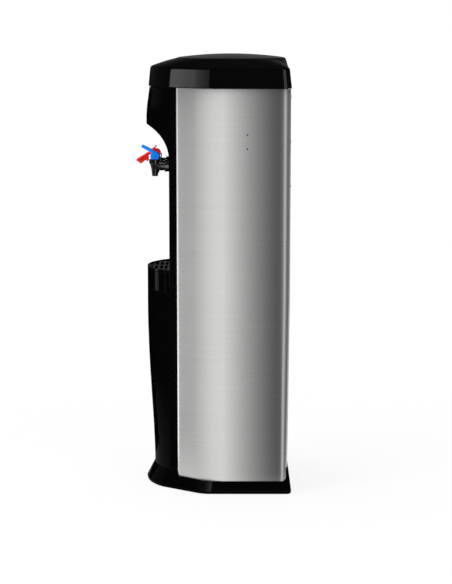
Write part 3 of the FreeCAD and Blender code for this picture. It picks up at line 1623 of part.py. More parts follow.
def refrigerant_pipes():
    """Discharge, suction and capillary lines, with the drier."""
    radius = S.condenser_tube_radius
    centre = S.compressor_back
    bottom = S.compressor_bottom
    back = S.condenser_back
    low_run = S.condenser_bottom
    outer = S.half_width - S.discharge_inset
    aside = S.half_width - S.suction_inset
    discharge = tube("discharge_line", [
        (S.compressor_radius, centre, bottom + 52), (outer, centre, bottom + 52),
        (outer, back - 22, bottom + 52), (outer, back - 22, S.condenser_top),
        (outer, back - 10, S.condenser_top)], radius, 5.9)
    suction = tube("suction_line", [
        (S.cold_radius + 7.42, S.cold_centre, S.coil_bottom + 5), (aside, S.cold_centre, S.coil_bottom + 5),
        (aside, centre + 30, S.coil_bottom + 5), (aside, centre + 30, bottom + 92),
        (54, centre + 30, bottom + 92)], 3.5, 10)
    shell = rod("suction_shell_cut", "z", (0, centre), S.compressor_radius, (bottom + 72, bottom + 104))
    suction = cut("suction_line_fitted", suction, [shell])
    liquid = tube("liquid_line", [
        (-outer, back - 10, low_run), (-outer, back - 22, low_run), (-outer, back - 22, low_run + 30)],
        radius, 5.9)
    drier = turned("drier", "z", (-outer, back - 22), [
        (0, low_run + 22), (3, low_run + 22), (9, low_run + 32),
        (9, low_run + 98), (3, low_run + 108), (0, low_run + 108)])
    capillary = tube("capillary_line", [
        (-outer, back - 22, low_run + 106), (-outer, back - 22, S.coil_bottom + 105),
        (-outer, S.cold_centre, S.coil_bottom + 105),
        (-S.cold_radius - 7.42, S.cold_centre, S.coil_bottom + 105)], 1.2, 8)
    low = join("low_side", [liquid, drier, capillary])
    return piece("refrigerant_pipes", group("pipes", [discharge, suction, low]))


# Filters

def filter_places():
    return [S.filter_front, S.filter_rear]


def filter_manifold():
    """Bracket under the shelf with two filter heads."""
    side = S.filter_side
    top = S.filter_top
    front = S.filter_front - 33
    rear = S.filter_rear + 35
    plate = box("filter_plate", (side + 30, side + 31.2), (front, rear), (top - 9.5, S.shelf_level))
    fold = box("filter_plate_fold", (side + 14, side + 31.2), (front + 8, rear),
               (S.shelf_level - 1.2, S.shelf_level))
    parts = [plate, fold]
    tools = [box("filter_plate_hole", (side + 28, side + 33), (S.filter_front - 5, S.filter_front + 5),
                 (top + 83.5, top + 106.5))]
    for index, y in enumerate(filter_places()):
        parts.append(rod(f"filter_head_{index}", "z", (side, y), 26, (top + 0.5, top + 30.5)))
        parts.append(box(f"filter_arm_{index}", (side, side + 30.5), (y - 14, y + 14),
                         (top + 4.5, top + 26.5)))
        parts.append(rod(f"filter_port_{index}", "z", (side, y), 6, (top + 28.5, top + 42.5)))
        tools.append(rod(f"filter_socket_{index}", "z", (side, y), S.filter_neck + 0.3,
                         (top - 0.5, top + 19.5)))
        tools.append(rod(f"filter_port_bore_{index}", "z", (side, y), 2.2, (top + 18.5, top + 43.5)))
        tools.append(rod(f"filter_port_seat_{index}", "z", (side, y), 3.2, (top + 38.5, top + 43.5)))
    link = box("filter_link", (side - 8, side + 8), (S.filter_front, S.filter_rear),
               (top + 6.5, top + 20.5))
    return piece("filter_manifold", cut("filter_block", join("filter_blank", [*parts, link]), tools))


def filter_cartridge(name, y):
    """Cartridge that twists into its head."""
    radius = S.filter_radius
    low = S.filter_bottom
    top = S.filter_top
    return piece(name, turned(f"{name}_body", "z", (S.filter_side, y), [
        (0, low),
        (radius - 9, low),
        (radius, low + 9),
        (radius, top - 14),
        (radius - 4, top - 8),
        (radius - 4, top),
        (S.filter_neck, top),
        (S.filter_neck, top + 5),
        (S.filter_neck - 1.5, top + 5),
        (S.filter_neck - 1.5, top + 8),
        (S.filter_neck, top + 8),
        (S.filter_neck, top + 18.5),
        (0, top + 18.5),
    ]))


def water_tubes():
    """Water lines from the inlet through the filters to the float valve, and on to the hot tap."""
    radius = S.water_tube_radius
    side = S.filter_side
    top = S.filter_top
    aside = S.half_width - S.filtered_inset
    supply = tube("supply_line", [
        (S.inlet_side, 141, S.inlet_level), (S.inlet_side, 130, S.inlet_level),
        (S.inlet_side, 130, top + 70.5), (side, 130, top + 70.5), (side, S.filter_rear, top + 70.5),
        (side, S.filter_rear, top + 38.5)], radius, 8, 2.2)
    filtered = tube("filtered_line", [
        (side, S.filter_front, top + 38.5), (side, S.filter_front, top + 90.5),
        (aside, S.filter_front, top + 90.5), (aside, S.filter_front, S.cold_top + 11),
        (aside, 95, S.cold_top + 11), (3, 95, S.cold_top + 11)], radius, 8, 2.2)
    drop = tube("hot_feed_line", [
        (0, S.cold_centre, S.shelf_level + 2), (0, S.cold_centre, S.shelf_level - 14),
        (36, S.cold_centre, S.shelf_level - 14), (36, S.cold_centre, S.hot_bottom - 35),
        (36, S.hot_back, S.hot_bottom - 35), (S.hot_side, S.hot_back, S.hot_bottom - 35),
        (S.hot_side, S.hot_back, S.hot_bottom - 20)], 5, 7.2, 3.6)
    rise = tube("hot_supply_line", [
        (S.hot_side, S.hot_back, S.hot_top + 32), (S.hot_side, S.hot_back, S.shelf_level - 7),
        (S.hot_side, -80, S.shelf_level - 7), (-S.tap_side, -80, S.shelf_level - 7),
        (-S.tap_side, -80, S.stem_level),
        (-S.tap_side, -97, S.stem_level)], 5.9, 8.2, 4.4)
    return piece("water_tubes", group("water_lines", [supply, filtered, drop, rise]))


# Connections and controls on the back

def inlet_fitting():
    """Bulkhead fitting with a push-in bore for the supply tube."""
    side = S.inlet_side
    level = S.inlet_level
    skin = S.cabinet_rear - S.panel_gauge
    body = rod("inlet_body", "y", (side, level), 7, (140, skin))
    flange = pad("inlet_flange", "XZ", (skin, skin + 6), hexagon((side, level), 20))
    collar = rod("inlet_collar", "y", (side, level), 6.2, (skin + 5, skin + 6.4))
    lock = pad("inlet_nut", "XZ", (skin - 7, skin - 1), hexagon((side, level), 20))
    tools = [
        rod("inlet_bore", "y", (side, level), S.inlet_tube_bore, (150, skin + 8)),
        rod("inlet_way", "y", (side, level), 2.2, (139, 151)),
        rod("inlet_seat", "y", (side, level), S.water_tube_radius, (139, 144)),
    ]
    return piece("inlet_fitting", cut("inlet", join("inlet_blank", [body, flange, collar, lock]), tools))


def rear_controls():
    """Housings of the two switches and of the thermostat."""
    skin = S.cabinet_rear - S.panel_gauge
    housings = []
    for index, level in enumerate(switch_levels()):
        side = S.switch_side
        case = box(f"switch_case_{index}", (side - 7, side + 7), (138, skin), (level - 12, level + 12))
        bezel = box(f"switch_bezel_{index}", (side - 9, side + 9), (skin, skin + 2),
                    (level - 14, level + 14))
        tools = [
            box(f"switch_room_{index}", (side - 5.1, side + 5.1), (147, skin + 3),
                (level - 10.2, level + 10.2)),
            rod(f"switch_pivot_{index}", "x", (155, level), 1.5, (side - 6.3, side + 6.3)),
        ]
        terminals = []
        for step in (-6, 6):
            terminals.append(box(f"switch_tab_{index}_{step + 6}", (side - 2.4, side + 2.4),
                                 (130, 139), (level + step - 0.4, level + step + 0.4)))
        blank = join(f"switch_blank_{index}", [case, bezel, *terminals])
        housings.append(cut(f"switch_{index}", blank, tools))
    side = S.knob_side
    level = S.knob_level
    case = box("thermostat_case", (side - 14, side + 14), (138, skin - 1), (level - 14, level + 14))
    bush = rod("thermostat_bush", "y", (side, level), 4.5, (skin - 2, skin + 1.2))
    hole = rod("thermostat_hole", "y", (side, level), 2.8, (146, skin + 3))
    housings.append(cut("thermostat", join("thermostat_blank", [case, bush]), [hole]))
    return piece("rear_controls", group("controls", housings))


def rocker(name, level, tilt):
    """Rocker with a dished face, on its own pivot."""
    blade = pad(f"{name}_blade", "YZ", (-4.8, 4.8), [
        (-3, -3.5),
        (3.5, -8.6),
        (6.6, -8.6),
        (5.2, 0),
        (6.6, 8.6),
        (3.5, 8.6),
        (-3, 3.5),
    ])
    pivot = rod(f"{name}_pivot", "x", (0, 0), 1.2, (-6, 6))
    whole = join(f"{name}_whole", [blade, pivot])
    return piece(name, held(f"{name}_held", [whole], (S.switch_side, 155, level), tilt))


def thermostat_knob():
    """Knob with a finger bar, on the thermostat's shaft."""
    skin = S.cabinet_rear - S.panel_gauge
    side = S.knob_side
    level = S.knob_level
    disc = rod("knob_disc", "y", (side, level), S.knob_radius, (skin + 1.6, skin + 4))
    bar = box("knob_bar", (side - 2, side + 2), (skin + 3, skin + 6.4), (level - 9.5, level + 9.5))
    shaft = rod("knob_shaft", "y", (side, level), 2.5, (148, skin + 2))
    return piece("thermostat_knob", join("knob", [disc, bar, shaft]))


def power_inlet():
    """Three-pin appliance inlet with a flange for two screws."""
    skin = S.cabinet_rear - S.panel_gauge
    side = S.power_side
    level = S.power_level
    case = box("power_case", (side - 14, side + 14), (136, skin), (level - 10, level + 10))
    flange = box("power_flange", (side - 25, side + 25), (skin, skin + 2.5), (level - 11.5, level + 11.5))
    socket = box("power_room", (side - 12.2, side + 12.2), (143, skin + 4), (level - 8, level + 8))
    tools = [socket]
    for index, step in enumerate((-20, 20)):
        tools.append(rod(f"power_screw_hole_{index}", "y", (side + step, level), 1.7, (skin - 2, skin + 4)))
    body = cut("power_open", join("power_blank", [case, flange]), tools)
    pins = []
    for index, (x, z) in enumerate(((-7, -1.5), (7, -1.5), (0, 2.5))):
        pins.append(box(f"power_pin_{index}", (side + x - 1, side + x + 1), (142, 157),
                        (level + z - 2, level + z + 2)))
        pins.append(box(f"power_tab_{index}", (side + x - 2.4, side + x + 2.4), (128, 137),
                        (level + z - 0.4, level + z + 0.4)))
    return piece("power_inlet", join("power_whole", [body, *pins]))


def screws():
    """Compressor bolts with their heads, and the screws of the power inlet."""
    parts = []
    for index, (x, y) in enumerate(mount_centres()):
        shank = rod(f"bolt_shank_{index}", "z", (x, y), S.mount_bolt_radius,
                    (S.cabinet_bottom - 1.5, S.compressor_bottom + 0.6))
        head = pad(f"bolt_head_{index}", "XY", (S.compressor_bottom + 0.5, S.compressor_bottom + 4.5),
                   hexagon((x, y), 10))
        parts.append(join(f"bolt_{index}", [shank, head]))
    skin = S.cabinet_rear - S.panel_gauge
    for index, step in enumerate((-20, 20)):
        centre = (S.power_side + step, S.power_level)
        shank = rod(f"inlet_screw_shank_{index}", "y", centre, 1.5, (skin - 6, skin + 3))
        head = rod(f"inlet_screw_head_{index}", "y", centre, 2.8, (skin + 2.5, skin + 4))
        parts.append(join(f"inlet_screw_{index}", [shank, head]))
    return piece("screws", group("screw_set", parts))


base_plinth()
rubber_feet()
base_pan()
side_panel(-1)
side_panel(1)
front_upper_panel()
indicator_lenses()
front_lower_panel()
drip_tray()
drip_grille()
lid()
lid_cap()
top_frame()
tank_shelf()
back_panel()
for tap, x in TAPS:
    tap_body(tap, x)
    plunger(tap, x)
    seal(tap, x)
    spring(tap, x)
tap_bonnets()
tap_pins()
tap_gaskets()
tap_nuts()
cold_lever()
hot_lever()
hot_trigger()
hot_catch()
cold_tank()
cold_tank_lid()
tank_baffle()
float_valve()
float_arm()
insulation_lower()
insulation_upper()
evaporator_coil()
hot_tank()
hot_tank_jacket()
heater_band()
hot_tank_bracket()
compressor()
compressor_grommets()
relay_cover()
condenser_tube()
condenser_wires()
refrigerant_pipes()
filter_manifold()
filter_cartridge("filter_cartridge_front", S.filter_front)
filter_cartridge("filter_cartridge_rear", S.filter_rear)
water_tubes()
inlet_fitting()
rear_controls()
rocker("rocker_hot", switch_levels()[0], -10)
rocker("rocker_cold", switch_levels()[1], -10)
thermostat_knob()
power_inlet()
screws()

doc.recompute()
faults = []
for item in doc.Objects:
    if "Invalid" in item.State or "Error" in item.State:
        faults.append(f"{item.Name} is marked {item.State}")
for item in PIECES:
    if item.Shape.isNull() or not item.Shape.isValid():
        faults.append(f"{item.Label} has no sound shape")
if faults:
    raise RuntimeError("; ".join(faults))

os.makedirs("parts", exist_ok=True)
for item in PIECES:
    item.Shape.exportStep(f"parts/{item.Label}.step")
print(f"{len(PIECES)} pieces written")
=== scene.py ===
"""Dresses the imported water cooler: finishes, small fittings, light and the camera."""
import json
import math

import bmesh
import bpy
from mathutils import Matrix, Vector

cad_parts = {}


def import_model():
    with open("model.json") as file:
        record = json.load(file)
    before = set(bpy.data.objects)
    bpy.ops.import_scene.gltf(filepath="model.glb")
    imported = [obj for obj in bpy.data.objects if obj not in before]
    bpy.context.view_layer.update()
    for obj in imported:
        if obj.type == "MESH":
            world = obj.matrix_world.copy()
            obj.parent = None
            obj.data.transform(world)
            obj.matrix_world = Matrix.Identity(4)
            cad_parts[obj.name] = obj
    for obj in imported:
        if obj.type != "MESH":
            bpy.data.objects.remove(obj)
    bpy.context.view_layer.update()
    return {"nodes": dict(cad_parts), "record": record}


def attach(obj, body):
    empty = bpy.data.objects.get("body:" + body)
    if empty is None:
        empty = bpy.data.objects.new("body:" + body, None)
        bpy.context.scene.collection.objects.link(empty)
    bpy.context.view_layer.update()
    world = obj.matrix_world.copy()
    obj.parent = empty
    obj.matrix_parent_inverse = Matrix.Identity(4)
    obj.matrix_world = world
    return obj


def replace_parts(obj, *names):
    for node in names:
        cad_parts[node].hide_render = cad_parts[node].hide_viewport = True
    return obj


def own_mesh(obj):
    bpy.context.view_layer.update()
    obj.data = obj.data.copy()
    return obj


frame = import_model()
NODES = frame["nodes"]

# The photograph's camera: a little above the lid, and square to the right side
IMAGE_HEIGHT = 584
SENSOR_WIDTH = 36.0
CAMERA_PLACE = Vector((3.964, 0.021, 1.097))
CAMERA_DOWN = math.radians(9.42)
CAMERA_ASIDE = math.radians(0.04)
FOCAL_PIXELS = 1741.0

# Outputs of the Light Path and Texture Coordinate nodes
CAMERA_RAY, GLOSSY_RAY, CLEAR_RAY = 0, 3, 6
GENERATED, OBJECT = 0, 3


class Value:
    """A shader socket; arithmetic on it adds Math nodes to its finish."""

    def __init__(self, finish, socket):
        self.finish = finish
        self.socket = socket

    def math(self, operation, *others):
        return self.finish.add("ShaderNodeMath", {"operation": operation},
                               {index: item for index, item in enumerate((self, *others))})

    def __add__(self, other):
        return self.math("ADD", other)

    def __radd__(self, other):
        return self.math("ADD", other)

    def __sub__(self, other):
        return self.math("SUBTRACT", other)

    def __rsub__(self, other):
        return self.finish.add("ShaderNodeMath", {"operation": "SUBTRACT"}, {0: other, 1: self})

    def __mul__(self, other):
        return self.math("MULTIPLY", other)

    def __rmul__(self, other):
        return self.math("MULTIPLY", other)

    def __truediv__(self, other):
        return self.math("DIVIDE", other)

    def clamped(self, low=0.0, high=1.0):
        return self.math("MAXIMUM", low).math("MINIMUM", high)


class Finish:
    """A material, or the world, and the nodes it is made of."""

    def __init__(self, name, owner=None):
        self.material = owner or bpy.data.materials.new(name)
        self.material.use_nodes = True
        self.tree = self.material.node_tree
        self.tree.nodes.clear()

    def add(self, kind, settings=None, sockets=None, output=0):
        """Adds a node: its settings first, then the values or links of its sockets."""
        node = self.tree.nodes.new(kind)
        for key, value in (settings or {}).items():
            if key == "stops":
                ramp = node.color_ramp
                while len(ramp.elements) < len(value):
                    ramp.elements.new(1.0)
                for element, (place, colour) in zip(ramp.elements, value):
                    element.position = place
                    element.color = (*colour, 1.0)
            else:
                setattr(node, key, value)
        for key, value in (sockets or {}).items():
            socket = node.inputs[key]
            if isinstance(value, Value):
                self.tree.links.new(value.socket, socket)
            elif hasattr(value, "__len__") and len(value) == 3 and len(getattr(socket, "default_value", ())) == 4:
                socket.default_value = (*value, 1.0)
            else:
                socket.default_value = value
        return None if output is None else Value(self, node.outputs[output])

    def seen(self):
        """1 where the camera, gloss or clear plastic looks, and 0 for plain light."""
        views = [self.add("ShaderNodeLightPath", output=index) for index in (CAMERA_RAY, GLOSSY_RAY, CLEAR_RAY)]
        return views[0].math("MAXIMUM", views[1]).math("MAXIMUM", views[2])

    def place(self, scale=(1.0, 1.0, 1.0)):
        """Object coordinates, stretched by a factor along each axis."""
        spot = self.add("ShaderNodeTexCoord", output=OBJECT)
        return self.add("ShaderNodeVectorMath", {"operation": "MULTIPLY"}, {0: spot, 1: scale})

    def noise(self, scale, detail=3.0, rough=0.5, stretch=(1.0, 1.0, 1.0)):
        """Soft random marks, from 0 to 1."""
        return self.add("ShaderNodeTexNoise", None, {
            "Vector": self.place(stretch), "Scale": scale, "Detail": detail, "Roughness": rough})

    def blend(self, factor, low, high):
        """A colour between two colours."""
        return self.add("ShaderNodeMix", {"data_type": "RGBA"}, {0: factor, 6: low, 7: high}, output=2)

    def soft_edge(self, radius):
        """The normal of a surface whose edges are rounded off."""
        return self.add("ShaderNodeBevel", {"samples": 6}, {"Radius": radius})

    def bump(self, height, distance, strength=1.0, onto=None):
        """The normal of a surface with small heights on it."""
        sockets = {"Height": height, "Distance": distance, "Strength": strength}
        if onto is not None:
            sockets["Normal"] = onto
        return self.add("ShaderNodeBump", None, sockets)

    def surface(self, **sockets):
        """Ends the tree in one Principled shader."""
        names = {key.replace("_", " "): value for key, value in sockets.items()}
        shader = self.add("ShaderNodeBsdfPrincipled", None, names)
        self.add("ShaderNodeOutputMaterial", None, {"Surface": shader}, output=None)
        return self.material


# Finishes

def shades(colour, spread):
    """A darker and a lighter shade of a colour."""
    return (tuple(part * (1 - spread) for part in colour),
            tuple(min(part * (1 + spread), 1.0) for part in colour))


def gloss_black():
    """Polished black moulding: deep black, with a faint swirl left by cleaning."""
    finish = Finish("gloss_black")
    depth = 0.0014
    swirl = finish.noise(16.0, 2.0)
    smear = finish.noise(55.0, 4.0, 0.6, (1.0, 1.0, 0.35))
    ripple = finish.noise(9.0, 1.0)
    colour = finish.blend(swirl, (depth * 0.7,) * 3, (depth * 1.3,) * 3)
    return finish.surface(
        Base_Color=colour, Roughness=0.05 + smear * 0.05, Specular_IOR_Level=0.15,
        Normal=finish.bump(ripple, 0.001, 0.25, finish.soft_edge(0.0018)))


def brushed_steel():
    """Stainless sheet brushed along the horizontal, with faint long scratches."""
    finish = Finish("brushed_steel")
    grain = finish.noise(1.0, 3.0, 0.55, (9.0, 9.0, 1500.0))
    streak = finish.noise(1.0, 2.0, 0.5, (2.5, 2.5, 240.0))
    cloud = finish.noise(5.0, 2.0)
    tone = (grain * 0.5 + streak * 0.3 + cloud * 0.2).clamped()
    colour = finish.blend(tone, (0.50, 0.498, 0.494), (0.68, 0.678, 0.673))
    return finish.surface(
        Base_Color=colour, Metallic=1.0, Roughness=0.25 + grain * 0.09 + streak * 0.05,
        Anisotropic=0.75, Anisotropic_Rotation=0.25,
        Normal=finish.bump(grain, 0.00004, 0.35))


def sheet_steel():
    """Zinc-coated sheet with its grey spangle."""
    finish = Finish("sheet_steel")
    spangle = finish.add("ShaderNodeTexVoronoi", {"feature": "F1"}, {
        "Vector": finish.place(), "Scale": 140.0}, output=1)
    fine = finish.noise(60.0, 3.0)
    tone = finish.add("ShaderNodeSeparateColor", None, {"Color": spangle})
    colour = finish.blend((tone * 0.6 + fine * 0.4).clamped(), (0.34, 0.35, 0.36), (0.56, 0.57, 0.58))
    return finish.surface(Base_Color=colour, Metallic=0.85, Roughness=0.34 + fine * 0.14,
                          Normal=finish.bump(fine, 0.0002, 0.2))


def moulded(name, colour, roughness=0.28, shine=0.5, grit=0.0, spread=0.08, edge=0.0006):
    """Moulded plastic: slightly uneven colour and gloss, with a fine tooled surface."""
    finish = Finish(name)
    patch = finish.noise(38.0, 3.0)
    fine = finish.noise(900.0, 2.0)
    return finish.surface(
        Base_Color=finish.blend(patch, *shades(colour, spread)), Roughness=roughness + patch * 0.08,
        Specular_IOR_Level=shine,
        Normal=finish.bump(fine, 0.00012 + grit, 0.3, finish.soft_edge(edge)))


def rubber(name, colour):
    """Matt rubber with pale worn patches."""
    finish = Finish(name)
    patch = finish.noise(70.0, 4.0, 0.65)
    worn = finish.blend(patch, tuple(part * 0.75 for part in colour), tuple(part * 1.35 for part in colour))
    return finish.surface(Base_Color=worn, Roughness=0.62 + patch * 0.2,
                          Specular_IOR_Level=0.3, Normal=finish.bump(patch, 0.0003, 0.35))


def foam():
    """Moulded bead foam: pale, with the outlines of its beads."""
    finish = Finish("foam")
    bead = finish.add("ShaderNodeTexVoronoi", {"feature": "DISTANCE_TO_EDGE"}, {
        "Vector": finish.place(), "Scale": 260.0})
    patch = finish.noise(22.0, 3.0)
    seam = (bead * 9.0).clamped()
    colour = finish.blend((seam * 0.7 + patch * 0.3).clamped(), (0.60, 0.58, 0.53), (0.80, 0.79, 0.75))
    return finish.surface(Base_Color=colour, Roughness=0.75 + patch * 0.15,
                          Specular_IOR_Level=0.25, Normal=finish.bump(seam, 0.0006, 0.5))


def metal(name, colour, roughness=0.3, spread=0.15, scale=50.0):
    """Plain metal with a little tarnish."""
    finish = Finish(name)
    tarnish = finish.noise(scale, 4.0, 0.6)
    fine = finish.noise(500.0, 2.0)
    return finish.surface(Base_Color=finish.blend(tarnish, *shades(colour, spread)), Metallic=1.0,
                          Roughness=roughness + tarnish * 0.16, Normal=finish.bump(fine, 0.00008, 0.25))


def enamel(name, colour, roughness=0.3):
    """Sprayed black enamel with its orange-peel surface."""
    finish = Finish(name)
    peel = finish.noise(330.0, 2.0, 0.4)
    dust = finish.noise(14.0, 4.0, 0.7)
    light = tuple(part * 2.2 + 0.004 for part in colour)
    return finish.surface(Base_Color=finish.blend((dust * 1.6 - 0.5).clamped(), colour, light),
                          Roughness=roughness + dust * 0.15, Normal=finish.bump(peel, 0.0003, 0.35))


def lens():
    """Frosted clear plastic over an unlit lamp."""
    finish = Finish("lens_clear")
    core = finish.noise(220.0, 2.0)
    return finish.surface(Base_Color=finish.blend(core, (0.62, 0.64, 0.66), (0.82, 0.84, 0.85)),
                          Roughness=0.12 + core * 0.1, Coat_Weight=0.4, Normal=finish.bump(core, 0.0001, 0.3))


FINISHES = {
    "gloss_black": gloss_black(),
    "brushed_steel": brushed_steel(),
    "sheet_steel": sheet_steel(),
    "black_plastic": moulded("black_plastic", (0.010, 0.010, 0.011), 0.38, 0.35, 0.0001, 0.2),
    "tap_black": moulded("tap_black", (0.006, 0.006, 0.0065), 0.16, 0.3, 0.0, 0.2, 0.0009),
    "blue_plastic": moulded("blue_plastic", (0.0, 0.225, 0.92), 0.24, 0.3, 0.0, 0.05, 0.0005),
    "red_plastic": moulded("red_plastic", (0.92, 0.010, 0.006), 0.24, 0.3, 0.0, 0.05, 0.0005),
    "trigger_red": moulded("trigger_red", (0.88, 0.034, 0.016), 0.26, 0.3, 0.0, 0.06, 0.0004),
    "white_plastic": moulded("white_plastic", (0.74, 0.74, 0.72), 0.35, 0.4, 0.0, 0.05),
    "lens_clear": lens(),
    "seal_rubber": rubber("seal_rubber", (0.02, 0.02, 0.02)),
    "grey_rubber": rubber("grey_rubber", (0.045, 0.045, 0.047)),
    "tank_steel": metal("tank_steel", (0.58, 0.575, 0.565), 0.22, 0.08, 18.0),
    "foam": foam(),
    "copper": metal("copper", (0.74, 0.36, 0.21), 0.24, 0.28, 30.0),
    "compressor_black": enamel("compressor_black", (0.008, 0.008, 0.009), 0.24),
    "condenser_black": enamel("condenser_black", (0.01, 0.01, 0.011), 0.32),
    "blue_tube": moulded("blue_tube", (0.03, 0.16, 0.55), 0.28, 0.5, 0.0, 0.1),
    "plated_brass": metal("plated_brass", (0.62, 0.6, 0.52), 0.2, 0.1, 80.0),
    "zinc": metal("zinc", (0.55, 0.56, 0.57), 0.32, 0.15, 60.0),
    "spring_steel": metal("spring_steel", (0.6, 0.6, 0.6), 0.16, 0.06, 90.0),
    "filter_white": moulded("filter_white", (0.78, 0.78, 0.76), 0.24, 0.5, 0.0, 0.04),
}

SLOTS = {entry["node"]: entry["material_slot"] for entry in frame["record"]["subparts"]}
for node, part in NODES.items():
    for place in part.material_slots:
        place.material = FINISHES[SLOTS[node]]
    if not part.material_slots:
        part.data.materials.append(FINISHES[SLOTS[node]])


# Shapes: every length below is in millimetres until a mesh is made

def into_scene(name, data):
    thing = bpy.data.objects.new(name, data)
    bpy.context.scene.collection.objects.link(thing)
    return thing


def link(name, data, slot, body):
    """Puts a finished shape in the scene, on the body that carries it."""
    thing = into_scene(name, data)
    data.materials.append(FINISHES[slot])
    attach(thing, body)
    return thing


def metres(points):
    return [tuple(part / 1000 for part in point) for point in points]


def shell(rings, first_lid=False, last_lid=False, round_trip=False):
    """Points and faces of a skin that runs over closed rings of as many points each."""
    count = len(rings[0])
    points = [point for ring in rings for point in ring]
    pairs = list(zip(range(len(rings)), range(1, len(rings))))
    if round_trip:
        pairs.append((len(rings) - 1, 0))
    faces = [(low * count + index, low * count + (index + 1) % count,
              high * count + (index + 1) % count, high * count + index)
             for low, high in pairs for index in range(count)]
    if first_lid:
        faces.append(tuple(reversed(range(count))))
    if last_lid:
        faces.append(tuple(range((len(rings) - 1) * count, len(rings) * count)))
    return points, faces


def capped(rings):
    """A skin whose two ends are closed."""
    return shell(rings, first_lid=True, last_lid=True)


def solid(name, parts, sharp=32):
    """A mesh from (points, faces) parts, with smooth faces and crisp edges."""
    points, faces = [], []
    for part_points, part_faces in parts:
        start = len(points)
        points += part_points
        faces += [tuple(start + index for index in face) for face in part_faces]
    mesh = bpy.data.meshes.new(name)
    mesh.from_pydata(metres(points), [], faces)
    work = bmesh.new()
    work.from_mesh(mesh)
    bmesh.ops.recalc_face_normals(work, faces=work.faces)
    work.to_mesh(mesh)
    work.free()
    mesh.shade_smooth()
    mesh.set_sharp_from_angle(angle=math.radians(sharp))
    return mesh


def arc(centre, radius, start, end, steps):
    """Points of an arc in plan, from one angle to another in degrees."""
    turn = (end - start) / steps
    return [(centre[0] + radius * math.cos(math.radians(start + turn * step)),
             centre[1] + radius * math.sin(math.radians(start + turn * step)))
            for step in range(steps + 1)]


def circle(centre, radius, level, steps):
    """Points of a level ring."""
    return [(centre[0] + radius * math.cos(2 * math.pi * step / steps),
             centre[1] + radius * math.sin(2 * math.pi * step / steps), level)
            for step in range(steps)]


def helper(name, skin):
    """A closed shape for carving alone."""
    return into_scene(name, solid(name, [skin]))


def carve(thing, tools, operation="DIFFERENCE"):
    """Cuts the tools out of a piece, or fuses them to it, and clears them away."""
    for tool in tools:
        cut = thing.modifiers.new("cut", "BOOLEAN")
        cut.operation = operation
        cut.solver = "EXACT"
        cut.object = tool
    bpy.context.view_layer.update()
    finished = bpy.data.meshes.new_from_object(thing.evaluated_get(bpy.context.evaluated_depsgraph_get()))
    thing.modifiers.clear()
    thing.data = finished
    finished.set_sharp_from_angle(angle=math.radians(25))
    for tool in tools:
        bpy.data.objects.remove(tool)
    return thing


def true_flats(thing):
    """Lets the large faces set the shading, so that flats stay flat beside their bends."""
    weigh = thing.modifiers.new("flats", "WEIGHTED_NORMAL")
    weigh.weight = 100
    weigh.keep_sharp = True
    return thing


# Side panels: brushed sheet with a rolled front hem and a round rear bend

PANEL_FRONT, PANEL_REAR, PANEL_SIDE = -94.3, 160.5, 154.0
PANEL_FOOT, PANEL_TOP, PANEL_LEAN_TOP, PANEL_LEAN = 31.5, 912.5, 459.0, 4.4
CHEEK, BEND, BEND_START = 35.6, 128.0, 20.0
HEM, REAR_BEND, REAR_BEND_DEEP, FOOT_CORNER = 16.0, 9.0, 16.0, 14.0
FRONT_FLANGE_END, REAR_FLANGE_END, GAUGE = 88.0, 142.0, 1.0
HOLE_PLACE, HOLE_LEVELS, HOLE_RADIUS = 65.2, (781.8, 812.4), 1.75


def panel_path(rear, inset):
    """Plan of one face of the sheet, from the front flange round to the rear one."""
    lean = math.radians(CHEEK)
    bend_middle = (PANEL_SIDE - BEND, BEND_START)
    hem_back = PANEL_FRONT + HEM
    hem_side = bend_middle[0] + (math.sin(lean) * (hem_back - BEND_START) + BEND - HEM) / math.cos(lean)
    rear_middle = (PANEL_SIDE - REAR_BEND, rear - REAR_BEND_DEEP)
    rear_bend = [(rear_middle[0] + (REAR_BEND - inset) * math.cos(math.radians(9 * step)),
                  rear_middle[1] + (REAR_BEND_DEEP - inset) * math.sin(math.radians(9 * step)))
                 for step in range(11)]
    return [(FRONT_FLANGE_END, PANEL_FRONT + inset),
            *arc((hem_side, hem_back), HEM - inset, -90, -CHEEK, 8),
            *arc(bend_middle, BEND - inset, -CHEEK, 0, 18),
            *rear_bend,
            (REAR_FLANGE_END, rear - inset)]


def side_panel(side):
    """One side's sheet, its lower rear corner rounded; the right one has the two accessory holes."""
    name = "brushed_side_right" if side > 0 else "brushed_side_left"
    foot_rear = PANEL_REAR - PANEL_LEAN
    rings = []
    for level, rear in ((PANEL_FOOT, foot_rear), (PANEL_LEAN_TOP, PANEL_REAR), (PANEL_TOP, PANEL_REAR)):
        plan = panel_path(rear, 0) + panel_path(rear, GAUGE)[::-1]
        rings.append([(side * x, y, level) for x, y in plan])
    panel = link(name, solid(name, [capped(rings)], 25), "brushed_steel", "cabinet")
    middle = (foot_rear - FOOT_CORNER, PANEL_FOOT + FOOT_CORNER)
    beyond = 9
    corner = [(foot_rear + beyond, PANEL_FOOT - beyond), (foot_rear + beyond, middle[1]),
              *arc(middle, FOOT_CORNER, 0, -90, 10), (middle[0], PANEL_FOOT - beyond)]
    tools = [helper("corner_tool", capped([[(side * x, y, z) for y, z in corner] for x in (132, 160)]))]
    if side > 0:
        for level in HOLE_LEVELS:
            outline = arc((HOLE_PLACE, level), HOLE_RADIUS, 0, 345, 23)
            tools.append(helper("hole_tool", capped([[(x, y, z) for y, z in outline] for x in (150, 158)])))
    true_flats(carve(panel, tools))
    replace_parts(panel, "side_panel_right" if side > 0 else "side_panel_left")
    return panel


# Lid: an upright band, rounded over into slopes that rise to the round seat of the cap

